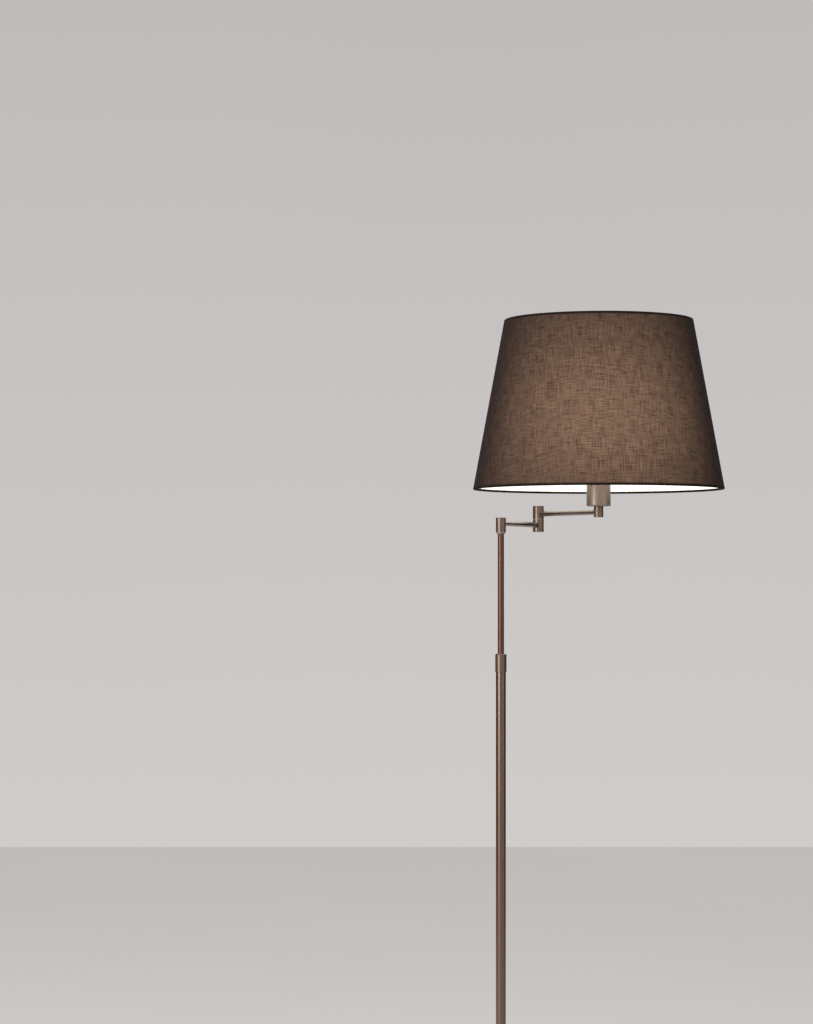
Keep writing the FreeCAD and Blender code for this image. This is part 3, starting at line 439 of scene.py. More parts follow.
def linen_weave(name):
    """Plain weave with thick and thin yarns, from the flat cloth's own coordinates."""
    tree, nodes, given, put_out = new_group(
        name,
        [("Cloth", "Vector", None), ("Pitch", "Float", 0.00055)],
        [("Tone", "Float"), ("Gaps", "Float"), ("Height", "Float")])
    across, along, _ = nodes.parts(given["Cloth"])

    def yarns(x_size, y_size, low, high, detail=1.5):
        """Patches of the given size in metres, longer along their yarns."""
        place = nodes.vector(nodes.ratio(across, x_size), nodes.ratio(along, y_size))
        return nodes.span(nodes.noise(place, detail=detail, flat=True)["Fac"], low, high)

    weft = yarns(0.024, 0.0011, 0.30, 0.72)
    warp = yarns(0.0011, 0.030, 0.30, 0.72)
    weft_slubs = yarns(0.016, 0.0016, 0.60, 0.74, detail=0.5)
    warp_slubs = yarns(0.0016, 0.020, 0.60, 0.74, detail=0.5)
    clouds = yarns(0.016, 0.013, 0.25, 0.75, detail=2.0)

    wander = nodes.noise(given["Cloth"], scale=260.0, detail=1.0, flat=True)["Fac"]
    sway = nodes.times(nodes.minus(wander, 0.5), 1.3)
    column = nodes.plus(nodes.ratio(across, given["Pitch"]), sway)
    row = nodes.plus(nodes.ratio(along, given["Pitch"]), sway)

    def crest(thread):
        return nodes.math("ABSOLUTE", nodes.math("SINE", nodes.times(thread, math.pi)))

    warp_crest, weft_crest = crest(column), crest(row)
    cells = nodes.plus(nodes.math("FLOOR", column), nodes.math("FLOOR", row))
    over = nodes.math("GREATER_THAN", nodes.math("FLOORED_MODULO", cells, 2.0), 0.5)
    warp_top = nodes.times(warp_crest, nodes.linear(weft_crest, 0.5, 0.5))
    weft_top = nodes.times(weft_crest, nodes.linear(warp_crest, 0.5, 0.5))
    height = nodes.plus(nodes.times(over, warp_top),
                        nodes.times(nodes.minus(1.0, over), weft_top))
    open_mesh = nodes.minus(1.0, nodes.math("MAXIMUM", warp_crest, weft_crest))
    nodes.feed(put_out["Gaps"], nodes.times(open_mesh, open_mesh))

    tone = nodes.linear(nodes.plus(weft, warp), 0.44, -0.44)
    tone = nodes.plus(tone, nodes.linear(clouds, 0.20, -0.10))
    slubs = nodes.plus(weft_slubs, warp_slubs)
    tone = nodes.minus(tone, nodes.times(slubs, 0.30))
    nodes.feed(put_out["Tone"], nodes.plus(tone, 1.0))
    nodes.feed(put_out["Height"], nodes.plus(height, slubs))
    return tree


# ------------------------------------------------------------------ what materials share


def new_material(name):
    """A material with one Principled shader; gives back the material, its tree and the shader."""
    material = bpy.data.materials.new(name)
    material.use_nodes = True
    material.node_tree.nodes.clear()
    nodes = Tree(material.node_tree)
    shader = nodes.add("ShaderNodeBsdfPrincipled")
    nodes.add("ShaderNodeOutputMaterial", {"Surface": shader})
    return material, nodes, shader


def surface(nodes):
    """The surface socket of a material's output."""
    output = next(node for node in nodes.tree.nodes if node.type == "OUTPUT_MATERIAL")
    return output.inputs["Surface"]


def object_place(nodes, centre=(0, 0, 0), turn=0.0, upright=False):
    """Object coordinates, centred on an axis and turned so that a tube's length lies along X."""
    place = nodes.add("ShaderNodeTexCoord").outputs["Object"]
    rotation = (0.0, -math.pi / 2, 0.0) if upright else (0.0, 0.0, turn)
    return nodes.add("ShaderNodeMapping", {
        "Vector": place, "Location": centre, "Rotation": rotation},
        vector_type="TEXTURE").outputs[0]


def rings_round(nodes, axis, pitch):
    """Lathe marks round an upright axis, and the place that they are drawn in."""
    place = object_place(nodes, centre=(axis[0], axis[1], 0.0))
    return place, nodes.group(once("Lathe Marks", lathe_marks), Vector=place, Pitch=pitch)


def marks_over(nodes, place, size):
    return nodes.group(once("Handling Marks", handling_marks), Vector=place, Size=size)


def skin_over(nodes, place, size, pits):
    return nodes.group(once("Pitted Skin", pitted_skin), Vector=place, Size=size, Pits=pits)


# ------------------------------------------------------------------ bronze


def finish_bronze(nodes, shader, bronze, rgb, grain, place, roughness):
    """The plated, lacquered metal that every bronze piece shares, over its own grain."""
    marks = marks_over(nodes, place, bronze.mark_size)
    lines, clouds, scratches = grain["Lines"], marks["Clouds"], marks["Scratches"]
    tone = nodes.mix(lines, scaled(rgb, 0.90), scaled(rgb, 1.11))
    tone = nodes.mix(nodes.times(clouds, 0.25), tone, scaled(rgb, 0.74))
    tone = nodes.mix(nodes.times(scratches, 0.25), tone, scaled(rgb, 1.35))
    rough = nodes.linear(clouds, 0.06, nodes.linear(lines, 0.08, roughness - 0.05))
    nodes.bump(shader, nodes.minus(grain["Height"], nodes.times(scratches, 0.2)), 0.08, 0.00003)
    nodes.feed_all(shader, Base_Color=tone, Roughness=rough, Metallic=0.92,
                   Coat_Weight=0.65 * bronze.lacquer,
                   Coat_Roughness=bronze.lacquer_roughness, Coat_IOR=1.5)


def tube_bronze(name, bronze, rgb, turn=0.0, upright=False, worn=0.0):
    """A drawn tube. worn, from 0 to 1, is how far rubbing has dulled its lacquer."""
    material, nodes, shader = new_material(name)
    place = object_place(nodes, turn=turn, upright=upright)
    grain = nodes.group(once("Drawn Grain", drawn_grain), Vector=place,
                        Pitch=bronze.grain_pitch, Length=bronze.grain_length)
    finish_bronze(nodes, shader, bronze, rgb, grain, place, bronze.tube_roughness + 0.18 * worn)
    nodes.feed_all(shader, Coat_Weight=bronze.lacquer * (1 - 0.75 * worn), Coat_IOR=1.8)
    return material


def turned_bronze(name, bronze, rgb, axis=(0, 0), pitch=0.0004):
    """A turned or spun piece, with lathe marks round its own upright axis."""
    material, nodes, shader = new_material(name)
    place, rings = rings_round(nodes, axis, pitch)
    finish_bronze(nodes, shader, bronze, rgb, rings, place, bronze.turned_roughness)
    return material


# ------------------------------------------------------------------ the other finishes


def plain_metal(name, rgb, roughness, pitch=0.0005, axis=(0, 0)):
    """Bare or plated metal with lathe marks and dull patches."""
    material, nodes, shader = new_material(name)
    place, rings = rings_round(nodes, axis, pitch)
    clouds = marks_over(nodes, place, 0.009)["Clouds"]
    tone = nodes.mix(nodes.times(rings["Lines"], 0.4), scaled(rgb, 0.88), scaled(rgb, 1.08))
    tone = nodes.mix(nodes.times(clouds, 0.4), tone, scaled(rgb, 0.68))
    nodes.bump(shader, rings["Height"], 0.25, 0.00005)
    nodes.feed_all(shader, Base_Color=tone, Roughness=nodes.linear(clouds, 0.18, roughness),
                   Metallic=1.0)
    return material


def moulded(name, rgb, roughness, size, relief, pits=0.1, contrast=0.25, coat=0.0, specular=0.5):
    """Cast, foamed or moulded material with a pitted skin."""
    material, nodes, shader = new_material(name)
    place = object_place(nodes)
    skin = skin_over(nodes, place, size, pits)
    clouds = marks_over(nodes, place, 0.012)["Clouds"]
    tone = nodes.mix(skin["Shade"], scaled(rgb, 1 - contrast), scaled(rgb, 1 + contrast))
    tone = nodes.mix(nodes.times(clouds, 0.25), tone, scaled(rgb, 0.8))
    nodes.bump(shader, skin["Height"], 0.6, relief)
    nodes.feed_all(shader, Base_Color=tone, Roughness=nodes.linear(clouds, 0.12, roughness),
                   Coat_Weight=coat, Coat_Roughness=0.12, Specular_IOR_Level=specular)
    return material


def opal_glass(name, bulb):
    """A lit opal globe: brightest over the light's middle, a little darker at the neck."""
    material, nodes, shader = new_material(name)
    place = object_place(nodes, centre=tuple(BULB))
    height = nodes.parts(place)[2]
    low, high = (corner[2] - BULB.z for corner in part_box("bulb_globe"))
    fade = nodes.span(height, low, low + (high - low) * 0.45, 0.45, 1.0)
    skin = skin_over(nodes, place, 0.0016, 0.1)
    uneven = nodes.linear(skin["Shade"], 0.06, 0.97)
    nodes.bump(shader, skin["Height"], 0.1, 0.00003)
    nodes.feed_all(
        shader,
        Base_Color=nodes.mix(skin["Shade"], (0.78, 0.76, 0.72, 1), (0.86, 0.84, 0.80, 1)),
        Emission_Color=nodes.mix(1.0, colour(bulb.light), nodes.times(fade, uneven), "MULTIPLY"),
        Emission_Strength=bulb.strength, Roughness=nodes.linear(skin["Shade"], 0.06, 0.14),
        Coat_Weight=0.4, Coat_Roughness=0.05)
    return material


def lit_falloff(nodes, place, shade):
    """How the bulb's light fades over the shade: with the cube of the distance, 1 where nearest."""
    nearest = (shade.bottom_radius + shade.top_radius) / 2
    return nodes.math("POWER", nodes.ratio(nearest, nodes.length(place)), 3.0)


def lining_film(name, shade):
    """The white laminated film inside the shade, lit by the bulb."""
    material, nodes, shader = new_material(name)
    place = object_place(nodes, centre=tuple(BULB))
    fade = lit_falloff(nodes, place, shade)
    skin = skin_over(nodes, place, 0.0022, 0.15)
    light = nodes.times(nodes.span(fade, 0.1, 1.0, 0.72, 1.0),
                        nodes.linear(skin["Shade"], 0.05, 0.975))
    nodes.bump(shader, skin["Height"], 0.15, 0.0001)
    nodes.feed_all(
        shader,
        Base_Color=nodes.mix(skin["Shade"], (0.50, 0.49, 0.46, 1), (0.56, 0.55, 0.52, 1)),
        Emission_Color=nodes.mix(1.0, colour(shade.lining_colour), light, "MULTIPLY"),
        Emission_Strength=shade.lining_glow, Roughness=nodes.linear(skin["Shade"], 0.1, 0.45))
    return material


def lit_linen(name, shade):
    """Dark linen in front of the lit lining. The light comes from the layer under the yarns, which
    hide more of it the more slantingly they are seen: that is the second shader's tinted coat."""
    material, nodes, cloth = new_material(name)
    glow = nodes.add("ShaderNodeBsdfPrincipled")
    nodes.feed(surface(nodes), nodes.add("ShaderNodeAddShader", {0: cloth, 1: glow}))

    cloth_place = nodes.add("ShaderNodeUVMap", uv_map="cloth").outputs[0]
    weave = nodes.group(once("Linen Weave", linen_weave), Cloth=cloth_place,
                        Pitch=shade.thread_pitch)
    place = object_place(nodes, centre=tuple(BULB))
    fade = lit_falloff(nodes, place, shade)

    height = nodes.parts(place)[2]
    foot, top = SHADE_FOOT - BULB.z, SHADE_TOP - BULB.z
    above_hem = nodes.span(height, foot + HEM_DARK, foot + HEM_CLEAR)
    below_hem = nodes.span(height, top - HEM_CLEAR, top - HEM_DARK, 1.0, 0.0)
    single = nodes.times(above_hem, below_hem)
    through = nodes.times(nodes.times(fade, single), weave["Tone"])
    through = nodes.times(through, nodes.linear(weave["Gaps"], 0.5, 0.95))

    base = nodes.mix(nodes.span(weave["Tone"], 0.6, 1.4),
                     scaled(shade.linen, 0.72), scaled(shade.linen, 1.35))
    # Painted shade: the rolled hems at the foot and the top get the linen at 0.40 of its colour,
    # darker as if in shadow.
    base = nodes.mix(single, scaled(shade.linen, 0.40), base)
    nodes.bump(cloth, weave["Height"], 0.55, 0.00012)
    nodes.feed_all(
        cloth, Base_Color=base, Roughness=nodes.span(weave["Height"], 0.0, 2.0, 0.92, 0.78),
        Specular_IOR_Level=0.07, Sheen_Weight=0.01, Sheen_Roughness=0.5)
    nodes.feed_all(
        glow, Base_Color=base, Roughness=1.0, Specular_IOR_Level=0.0,
        Emission_Color=nodes.mix(1.0, colour(shade.glow), through, "MULTIPLY"),
        Emission_Strength=shade.glow_strength, Coat_Weight=1.0, Coat_Roughness=1.0,
        Coat_IOR=1.0, Coat_Tint=(0.25, 0.25, 0.25, 1.0))
    return material


def finish(material, *names):
    """Gives packed parts their material."""
    for name in names:
        NODES[name].material_slots[0].material = material


# ------------------------------------------------------------------ pieces


def mesh_of(name, shape):
    """The mesh of a finished bmesh."""
    mesh = bpy.data.meshes.new(name)
    shape.to_mesh(mesh)
    shape.free()
    return mesh


def in_scene(name, data):
    """A new object in the scene, at the origin."""
    added = bpy.data.objects.new(name, data)
    bpy.context.scene.collection.objects.link(added)
    return added


def new_piece(name, mesh, material):
    """An object at the origin, riding on the upper arm with the lamp's head."""
    piece = in_scene(name, mesh)
    mesh.materials.clear()
    mesh.materials.append(material)
    for face in mesh.polygons:
        face.use_smooth = True
    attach(piece, "upper_arm")
    return piece


def geometry_tree(name, inputs):
    """An empty Geometry Nodes tree with a geometry output and named inputs."""
    tree = bpy.data.node_groups.new(name, "GeometryNodeTree")
    tree.is_modifier = True
    tree.interface.new_socket("Geometry", in_out="OUTPUT", socket_type="NodeSocketGeometry")
    for label, kind in inputs:
        tree.interface.new_socket(label, in_out="INPUT", socket_type="NodeSocket" + kind)
    return with_ends(tree)


def put_dressed(nodes, put_out, geometry, material):
    """Gives out the real geometry of a tree in its material."""
    real = nodes.add("GeometryNodeRealizeInstances", {0: geometry})
    nodes.feed(put_out["Geometry"], nodes.add("GeometryNodeSetMaterial", {
        "Geometry": real, "Material": material}))


def grown_mesh(name, source, tree, values):
    """The plain mesh that a tree makes of a source mesh with the values of its named inputs."""
    carrier = in_scene(name + "_source", source)
    modifier = carrier.modifiers.new(tree.name, "NODES")
    modifier.node_group = tree
    sockets = {item.name: item.identifier for item in tree.interface.items_tree
               if item.item_type == "SOCKET" and item.in_out == "INPUT"}
    for label, value in values.items():
        modifier[sockets[label]] = value
    carrier.update_tag()
    bpy.context.view_layer.update()
    evaluated = carrier.evaluated_get(bpy.context.evaluated_depsgraph_get())
    mesh = bpy.data.meshes.new_from_object(
        evaluated, preserve_all_data_layers=True,
        depsgraph=bpy.context.evaluated_depsgraph_get())
    mesh.name = name
    carrier.modifiers.remove(modifier)
    bpy.data.objects.remove(carrier)
    return mesh


def rolling_tree():
    """Rolls flat rows of cloth to a cone. A point of the source holds its angle, its inset from the
    outer face and its height; the tree puts it round the shade's axis."""
    tree, nodes, given, put_out = geometry_tree("Roll To A Cone", [
        ("Flat Cloth", "Geometry"), ("Bottom Radius", "Float"), ("Top Radius", "Float"),
        ("Height", "Float"), ("Centre", "Vector"), ("Cloth", "Material")])
    angle, inset, height = nodes.parts(nodes.add("GeometryNodeInputPosition"))
    taper = nodes.ratio(nodes.minus(given["Bottom Radius"], given["Top Radius"]), given["Height"])
    radius = nodes.minus(given["Bottom Radius"], nodes.times(taper, height))
    radius = nodes.minus(radius, inset)
    rolled = nodes.vector(nodes.times(radius, nodes.math("COSINE", angle)),
                          nodes.times(radius, nodes.math("SINE", angle)), height)
    placed = nodes.add("ShaderNodeVectorMath", {0: rolled, 1: given["Centre"]}, operation="ADD")
    moved = nodes.add("GeometryNodeSetPosition", {
        "Geometry": given["Flat Cloth"], "Position": placed})
    closed = nodes.add("GeometryNodeMergeByDistance", {"Geometry": moved, "Distance": 0.000002})
    put_dressed(nodes, put_out, closed, given["Cloth"])
    return tree


def corner_arc(centre_inset, centre_height, radius, start, end, steps=5):
    """Points of a fold in the shade's section, as (inset, height)."""
    turns = [math.radians(start + (end - start) * step / steps) for step in range(steps + 1)]
    return [(centre_inset - radius * math.cos(turn), centre_height + radius * math.sin(turn))
            for turn in turns]


def hem_section(shade, reach, top):
    """The rolled hem's outer and inner lines at the foot, from the outer face to the cut edge. At
    the top they are turned over. reach is the height of the folded edge."""
    cloth, inset, fold = shade.cloth, shade.hem_inset, HEM_FOLD
    outer = corner_arc(fold, fold, fold, 0, -90)
    outer += corner_arc(inset - fold, fold, fold, -90, -180)
    cut = max(reach, fold * 1.05)
    outer += [(inset, cut - cloth * 0.3), (inset - cloth * 0.3, cut)]
    inner_fold = fold - cloth
    inner = [(inset - cloth * 0.7, cut), (inset - cloth, cut - cloth * 0.3)]
    inner += corner_arc(inset - fold, fold, inner_fold, -180, -90, 3)
    inner += corner_arc(fold, fold, inner_fold, -90, 0, 3)
    line = outer + inner
    return [(place, shade.height - height) for place, height in line] if top else line


def unrolled(shade):
    """The cone laid flat: its slant length, the share of a full turn that is left, and how far its
    foot is from the middle of the cut ring."""
    slant = math.hypot(shade.bottom_radius - shade.top_radius, shade.height)
    narrowing = (shade.bottom_radius - shade.top_radius) / slant
    return slant, narrowing, shade.bottom_radius / narrowing


def hem_paths(hem, start, way):
    """The cloth's path length at each point of a hem, out along one side and back on the other."""
    walked = [start]
    for before, after in zip(hem, hem[1:len(hem) // 2]):
        walked.append(walked[-1] + way * math.dist(before, after))
    paths = walked + walked[::-1]
    return paths + [start] * (len(hem) - len(paths))


def shade_section(shade, reach):
    """The closed section of the cover: rows of (inset, height), with the cloth's path length from
    the foot of the outer face, going down the outer face and back up the inner one."""
    low, high = HEM_FOLD, shade.height - HEM_FOLD
    outer = [(0.0, high + (low - high) * step / COVER_ROWS) for step in range(1, COVER_ROWS)]
    inner = [(shade.cloth, low + (high - low) * step / COVER_ROWS) for step in range(1, COVER_ROWS)]
    foot = hem_section(shade, reach, top=False)
    head = hem_section(shade, shade.hem_depth, top=True)
    slant = unrolled(shade)[0] / shade.height
    paths = [height * slant for _, height in outer] + hem_paths(foot, 0.0, -1)
    paths += [height * slant for _, height in inner]
    paths += hem_paths(head, shade.height * slant, 1)[::-1]
    return outer + foot + inner + head[::-1], paths


def flat_cloth(name, shade, turns, closed, raised=0.0):
    """Flat rows of the cover at the given angles: its points hold angle, inset and height, and its
    "cloth" map holds the place on the flat cloth, in metres."""
    _, narrowing, apex = unrolled(shade)
    front = math.radians(270)
    mesh = bmesh.new()
    cloth_map = mesh.loops.layers.uv.new("cloth")
    columns = []
    for turn, snipped in turns:
        section, paths = shade_section(shade, 0.0 if snipped else shade.hem_depth)
        columns.append((turn, paths, [
            mesh.verts.new((turn, inset - raised, height)) for inset, height in section]))
    rows = len(columns[0][2])
    for (turn, paths, points), (next_turn, next_paths, next_points) in zip(columns, columns[1:]):
        for row in range(rows):
            after = (row + 1) % rows
            face = mesh.faces.new(
                (points[row], next_points[row], next_points[after], points[after]))
            places = ((turn, paths[row]), (next_turn, next_paths[row]),
                      (next_turn, next_paths[after]), (turn, paths[after]))
            for corner, (angle, path) in zip(face.loops, places):
                reach, swing = apex - path, (angle - front) * narrowing
                corner[cloth_map].uv = (reach * math.sin(swing), -reach * math.cos(swing))
    if not closed:
        for points in (columns[0][2], columns[-1][2][::-1]):
            mesh.faces.new(points)
    return mesh_of(name + "_flat", mesh)


def rolled_piece(name, shade, turns, closed, material, raised=0.0):
    """A piece of linen rolled to the shade's cone."""
    mesh = grown_mesh(name, flat_cloth(name, shade, turns, closed, raised), rolling_tree(), {
        "Bottom Radius": shade.bottom_radius, "Top Radius": shade.top_radius,
        "Height": shade.height, "Centre": (HEAD.x, HEAD.y, SHADE_FOOT), "Cloth": material})
    return new_piece(name, mesh, material)


def grip_tree():
    """Finger grips: small upright beads set round a ring, turned to face outward."""
    tree, nodes, given, put_out = geometry_tree("Finger Grips", [
        ("Rings", "Geometry"), ("Radius", "Float"), ("Count", "Int"), ("Width", "Float"),
        ("Depth", "Float"), ("Height", "Float"), ("Moulding", "Material")])
    circle = nodes.add("GeometryNodeMeshCircle", {
        "Vertices": given["Count"], "Radius": given["Radius"]})
    seat = nodes.add("GeometryNodeInstanceOnPoints", {
        "Points": given["Rings"], "Instance": circle})
    spots = nodes.add("GeometryNodeRealizeInstances", {0: seat})
    bead = nodes.add("GeometryNodeMeshUVSphere", {"Segments": 8, "Rings": 6, "Radius": 0.5})
    size = nodes.vector(nodes.times(given["Depth"], 2.0), given["Width"], given["Height"])
    shaped = nodes.add("GeometryNodeTransform", {"Geometry": bead, "Scale": size})
    position = nodes.add("GeometryNodeInputPosition")
    middle = nodes.add("GeometryNodeAttributeStatistic", {
        "Geometry": spots, "Attribute": position}, data_type="FLOAT_VECTOR")
    offset = nodes.add("ShaderNodeVectorMath", {
        0: position, 1: middle.outputs["Mean"]}, operation="SUBTRACT")
    x, y, _ = nodes.parts(offset)
    facing = nodes.vector(z=nodes.math("ARCTAN2", y, x))
    grips = nodes.add("GeometryNodeInstanceOnPoints", {
        "Points": spots, "Instance": shaped,
        "Rotation": nodes.add("FunctionNodeEulerToRotation", {0: facing})})
    put_dressed(nodes, put_out, grips, given["Moulding"])
    return tree


# ------------------------------------------------------------------ operators


class LampOperator(bpy.types.Operator):
    """What the lamp's operators share"""
    bl_options = {"REGISTER", "UNDO"}


class FLOORLAMP_OT_tubes(LampOperator):
    """Finish the pole's sections, the sliding pole and the two arms in satin bronze"""
    bl_idname = "floor_lamp.finish_tubes"
    bl_label = "Finish Tubes"

    def execute(self, context):
        bronze = context.scene.lamp_bronze
        finish(tube_bronze("bronze_pole_tube", bronze, bronze.tube_colour, upright=True),
               "lower_pole", "upper_pole")
        finish(tube_bronze("bronze_sliding_pole", bronze, bronze.tube_colour, upright=True,
                           worn=1.0), "inner_pole")
        finish(tube_bronze("bronze_lower_arm_tube", bronze, bronze.arm_colour,
                           turn=LOWER_ARM_TURN), "lower_arm_tube")
        finish(tube_bronze("bronze_upper_arm_tube", bronze, bronze.arm_colour,
                           turn=UPPER_ARM_TURN), "upper_arm_tube")
        return {"FINISHED"}


class FLOORLAMP_OT_fittings(LampOperator):
    """Finish the turned ferrule, joiner, collar, swivels and knuckle in satin bronze"""
    bl_idname = "floor_lamp.finish_fittings"
    bl_label = "Finish Turned Fittings"

    def execute(self, context):
        bronze = context.scene.lamp_bronze
        rgb = bronze.fitting_colour
        finish(turned_bronze("bronze_pole_fittings", bronze, rgb),
               "pole_foot_ring", "pole_joiner", "height_collar", "swivel_spigot",
               "root_barrel", "root_cap")
        finish(turned_bronze("bronze_elbow_fittings", bronze, rgb, axis=ELBOW),
               "elbow_lower_barrel", "elbow_base_cap", "elbow_upper_barrel", "elbow_cap")
        finish(turned_bronze("bronze_knuckle", bronze, rgb, axis=HEAD), "socket_knuckle")
        return {"FINISHED"}


class FLOORLAMP_OT_spinnings(LampOperator):
    """Finish the spun base cover and the socket cup in satin bronze"""
    bl_idname = "floor_lamp.finish_spinnings"
    bl_label = "Finish Spun Base and Cup"

    def execute(self, context):
        bronze = context.scene.lamp_bronze
        finish(turned_bronze("bronze_base_cover", bronze, bronze.tube_colour, pitch=0.0009),
               "base_shell")
        finish(turned_bronze("bronze_socket_cup", bronze, bronze.cup_colour, axis=HEAD), "cup")
        return {"FINISHED"}


class FLOORLAMP_OT_works(LampOperator):
    """Finish the hidden works: the ballast, pad, screws, washers and bushes"""
    bl_idname = "floor_lamp.finish_works"
    bl_label = "Finish Inner Works"

    def execute(self, context):
        finish(moulded("cast_iron", (0.055, 0.052, 0.050), 0.72, 0.0022, 0.0004, pits=0.7),
               "base_ballast")
        finish(moulded("foam_pad", (0.030, 0.030, 0.032), 0.95, 0.0009, 0.0003, pits=0.9,
                       specular=0.2), "base_pad")
        finish(moulded("black_rubber", (0.018, 0.018, 0.018), 0.62, 0.0012, 0.00005, pits=0.2),
               "cord_grommet")
        finish(moulded("nylon", (0.70, 0.67, 0.58), 0.42, 0.0018, 0.00004, contrast=0.06),
               "clamp_bush", "guide_bush", "swivel_washer", "elbow_washer")
        finish(plain_metal("zinc_steel", (0.56, 0.57, 0.58), 0.32),
               "base_washer", "base_locknut", "pole_stud", "pole_foot_plug",
               "spigot_spring_washer", "spigot_nut", "elbow_pin", "elbow_spring_washer",
               "elbow_nut", "lamp_nipple")
        return {"FINISHED"}


class FLOORLAMP_OT_holder(LampOperator):
    """Finish the lampholder and set the finger grips round its two clamping rings"""
    bl_idname = "floor_lamp.finish_holder"
    bl_label = "Finish Lampholder"

    def execute(self, context):
        bulb = context.scene.lamp_bulb
        clamping_rings = ("lower_shade_ring", "upper_shade_ring")
        phenolic = moulded("black_phenolic", (0.020, 0.017, 0.015), 0.34, 0.0016, 0.00003, coat=0.5)
        finish(phenolic, "lampholder_base", "lampholder_sleeve", *clamping_rings)
        finish(moulded("ceramic", (0.76, 0.74, 0.69), 0.22, 0.0014, 0.00003, contrast=0.05,
                       coat=0.6), "holder_insert")
        finish(plain_metal("contact_brass", (0.72, 0.50, 0.24), 0.28, axis=HEAD),
               "holder_shell", "centre_contact")
        seats = bmesh.new()
        for name in clamping_rings:
            seats.verts.new(node_centre(name))
        low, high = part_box("lower_shade_ring")
        mesh = grown_mesh("shade_ring_grips", mesh_of("ring_seats", seats), grip_tree(), {
            "Radius": node_half_width("lower_shade_ring"), "Count": bulb.grip_count,
            "Width": bulb.grip_width, "Depth": bulb.grip_depth,
            "Height": (high[2] - low[2]) * GRIP_SHARE, "Moulding": phenolic})
        new_piece("shade_ring_grips", mesh, phenolic)
        return {"FINISHED"}


class FLOORLAMP_OT_bulb(LampOperator):
    """Light the opal bulb and finish its cap"""
    bl_idname = "floor_lamp.light_bulb"
    bl_label = "Light Bulb"

    def execute(self, context):
        finish(opal_glass("opal_glass", context.scene.lamp_bulb), "bulb_globe")
        finish(plain_metal("bulb_cap_metal", (0.62, 0.60, 0.55), 0.25, axis=HEAD), "bulb_cap")
        return {"FINISHED"}


class FLOORLAMP_OT_shade_frame(LampOperator):
    """Finish the shade's white wires and its lit lining"""
    bl_idname = "floor_lamp.finish_shade_frame"
    bl_label = "Finish Shade Frame"

    def execute(self, context):
        finish(moulded("white_wire_paint", (0.72, 0.70, 0.66), 0.38, 0.0011, 0.00004,
                       contrast=0.06), "shade_carrier", "shade_top_ring")
        finish(lining_film("shade_lining_film", context.scene.lamp_shade), "shade_lining")
        return {"FINISHED"}


class FLOORLAMP_OT_shade_cover(LampOperator):
    """Roll the linen cover round the shade, with its hems and the seam at the back"""
    bl_idname = "floor_lamp.roll_shade_cover"
    bl_label = "Roll Shade Cover"

    def execute(self, context):
        shade = context.scene.lamp_shade
        linen = lit_linen("lit_brown_linen", shade)
        back, full = math.radians(90), 2 * math.pi
        turns = [(back + full * column / COVER_COLUMNS, False)
                 for column in range(COVER_COLUMNS + 1)]
        half = shade.notch / 2 / (shade.bottom_radius - shade.hem_inset)
        sliver = math.radians(0.02)
        for spoke in SPOKE_TURNS:
            middle = math.radians(spoke)
            turns = [turn for turn in turns if abs(turn[0] - middle) > half + sliver * 2]
            turns += [(middle - half - sliver, False), (middle - half, True),
                      (middle + half, True), (middle + half + sliver, False)]
        turns = sorted(turn for turn in turns if back <= turn[0] <= back + full)
        turns = [(back, True)] + turns + [(back + full, True)]
        cover = rolled_piece("shade_linen_cover", shade, turns, True, linen)
        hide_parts("shade_fabric")

        overlap = shade.seam_width / shade.bottom_radius
        seam_turns = [(back + full - overlap / 2 + overlap * step / SEAM_STEPS, True)
                      for step in range(SEAM_STEPS + 1)]
        seam = rolled_piece("shade_seam_fold", shade, seam_turns, False, linen, raised=0.5 * MM)

        return {"FINISHED"}


class FLOORLAMP_OT_studio(LampOperator):
    """Build the pale room, its soft lamps and the camera"""
    bl_idname = "floor_lamp.build_studio"
    bl_label = "Build Studio"

    def execute(self, context):
        studio = context.scene.lamp_studio
        scene = context.scene
        scene.view_settings.view_transform = "Standard"
        build_room(studio)
        dark_flags()
        light_room(studio)
        for name, place, size, power in (
                ("key_softbox", (-2.30, -2.30, 1.75), (1.0, 2.0), studio.key_light),
                ("fill_softbox", (2.6, -2.2, 1.6), (1.2, 1.6), studio.fill_light),
                ("top_softbox", (0.2, -0.5, 3.4), (1.8, 1.8), studio.top_light)):
            soft_box(name, place, size, power)

        view = bpy.data.cameras.new("lamp_camera")
        view.lens = studio.lens
        view.shift_y = studio.shift
        camera = in_scene("lamp_camera", view)
        camera.location = studio.camera_place
        camera.rotation_euler = (math.pi / 2, 0, 0)
        scene.camera = camera
        return {"FINISHED"}


# ------------------------------------------------------------------ studio


def stage_piece(name, shape, material):
    """A piece of the studio, from a finished bmesh."""
    stand = in_scene(name, mesh_of(name, shape))
    stand.data.materials.append(material)
    return stand


def build_room(studio):
    """A floor, and a wall with rounded corners that only the camera and reflections see."""
    straight = studio.wall_distance - CORNER_RADIUS
    line = []
    for corner, start in (((1, 1), 0), ((-1, 1), 90), ((-1, -1), 180), ((1, -1), 270)):
        for step in range(CORNER_STEPS + 1):
            turn = math.radians(start + 90 * step / CORNER_STEPS)
            line.append((straight * corner[0] + CORNER_RADIUS * math.cos(turn),
                         straight * corner[1] + CORNER_RADIUS * math.sin(turn)))
    floor = bmesh.new()
    floor.faces.new([floor.verts.new((x, y, 0.0)) for x, y in line])
    stage_piece("studio_floor", floor, floor_paint(studio))

    wall = bmesh.new()
    low = [wall.verts.new((x, y, 0.0)) for x, y in line]
    top = [wall.verts.new((x, y, WALL_HEIGHT)) for x, y in line]
    for index in range(len(line)):
        after = (index + 1) % len(line)
        wall.faces.new((low[after], low[index], top[index], top[after]))
    stand = stage_piece("studio_wall", wall, wall_paint(studio))
    stand.visible_diffuse = stand.visible_shadow = False


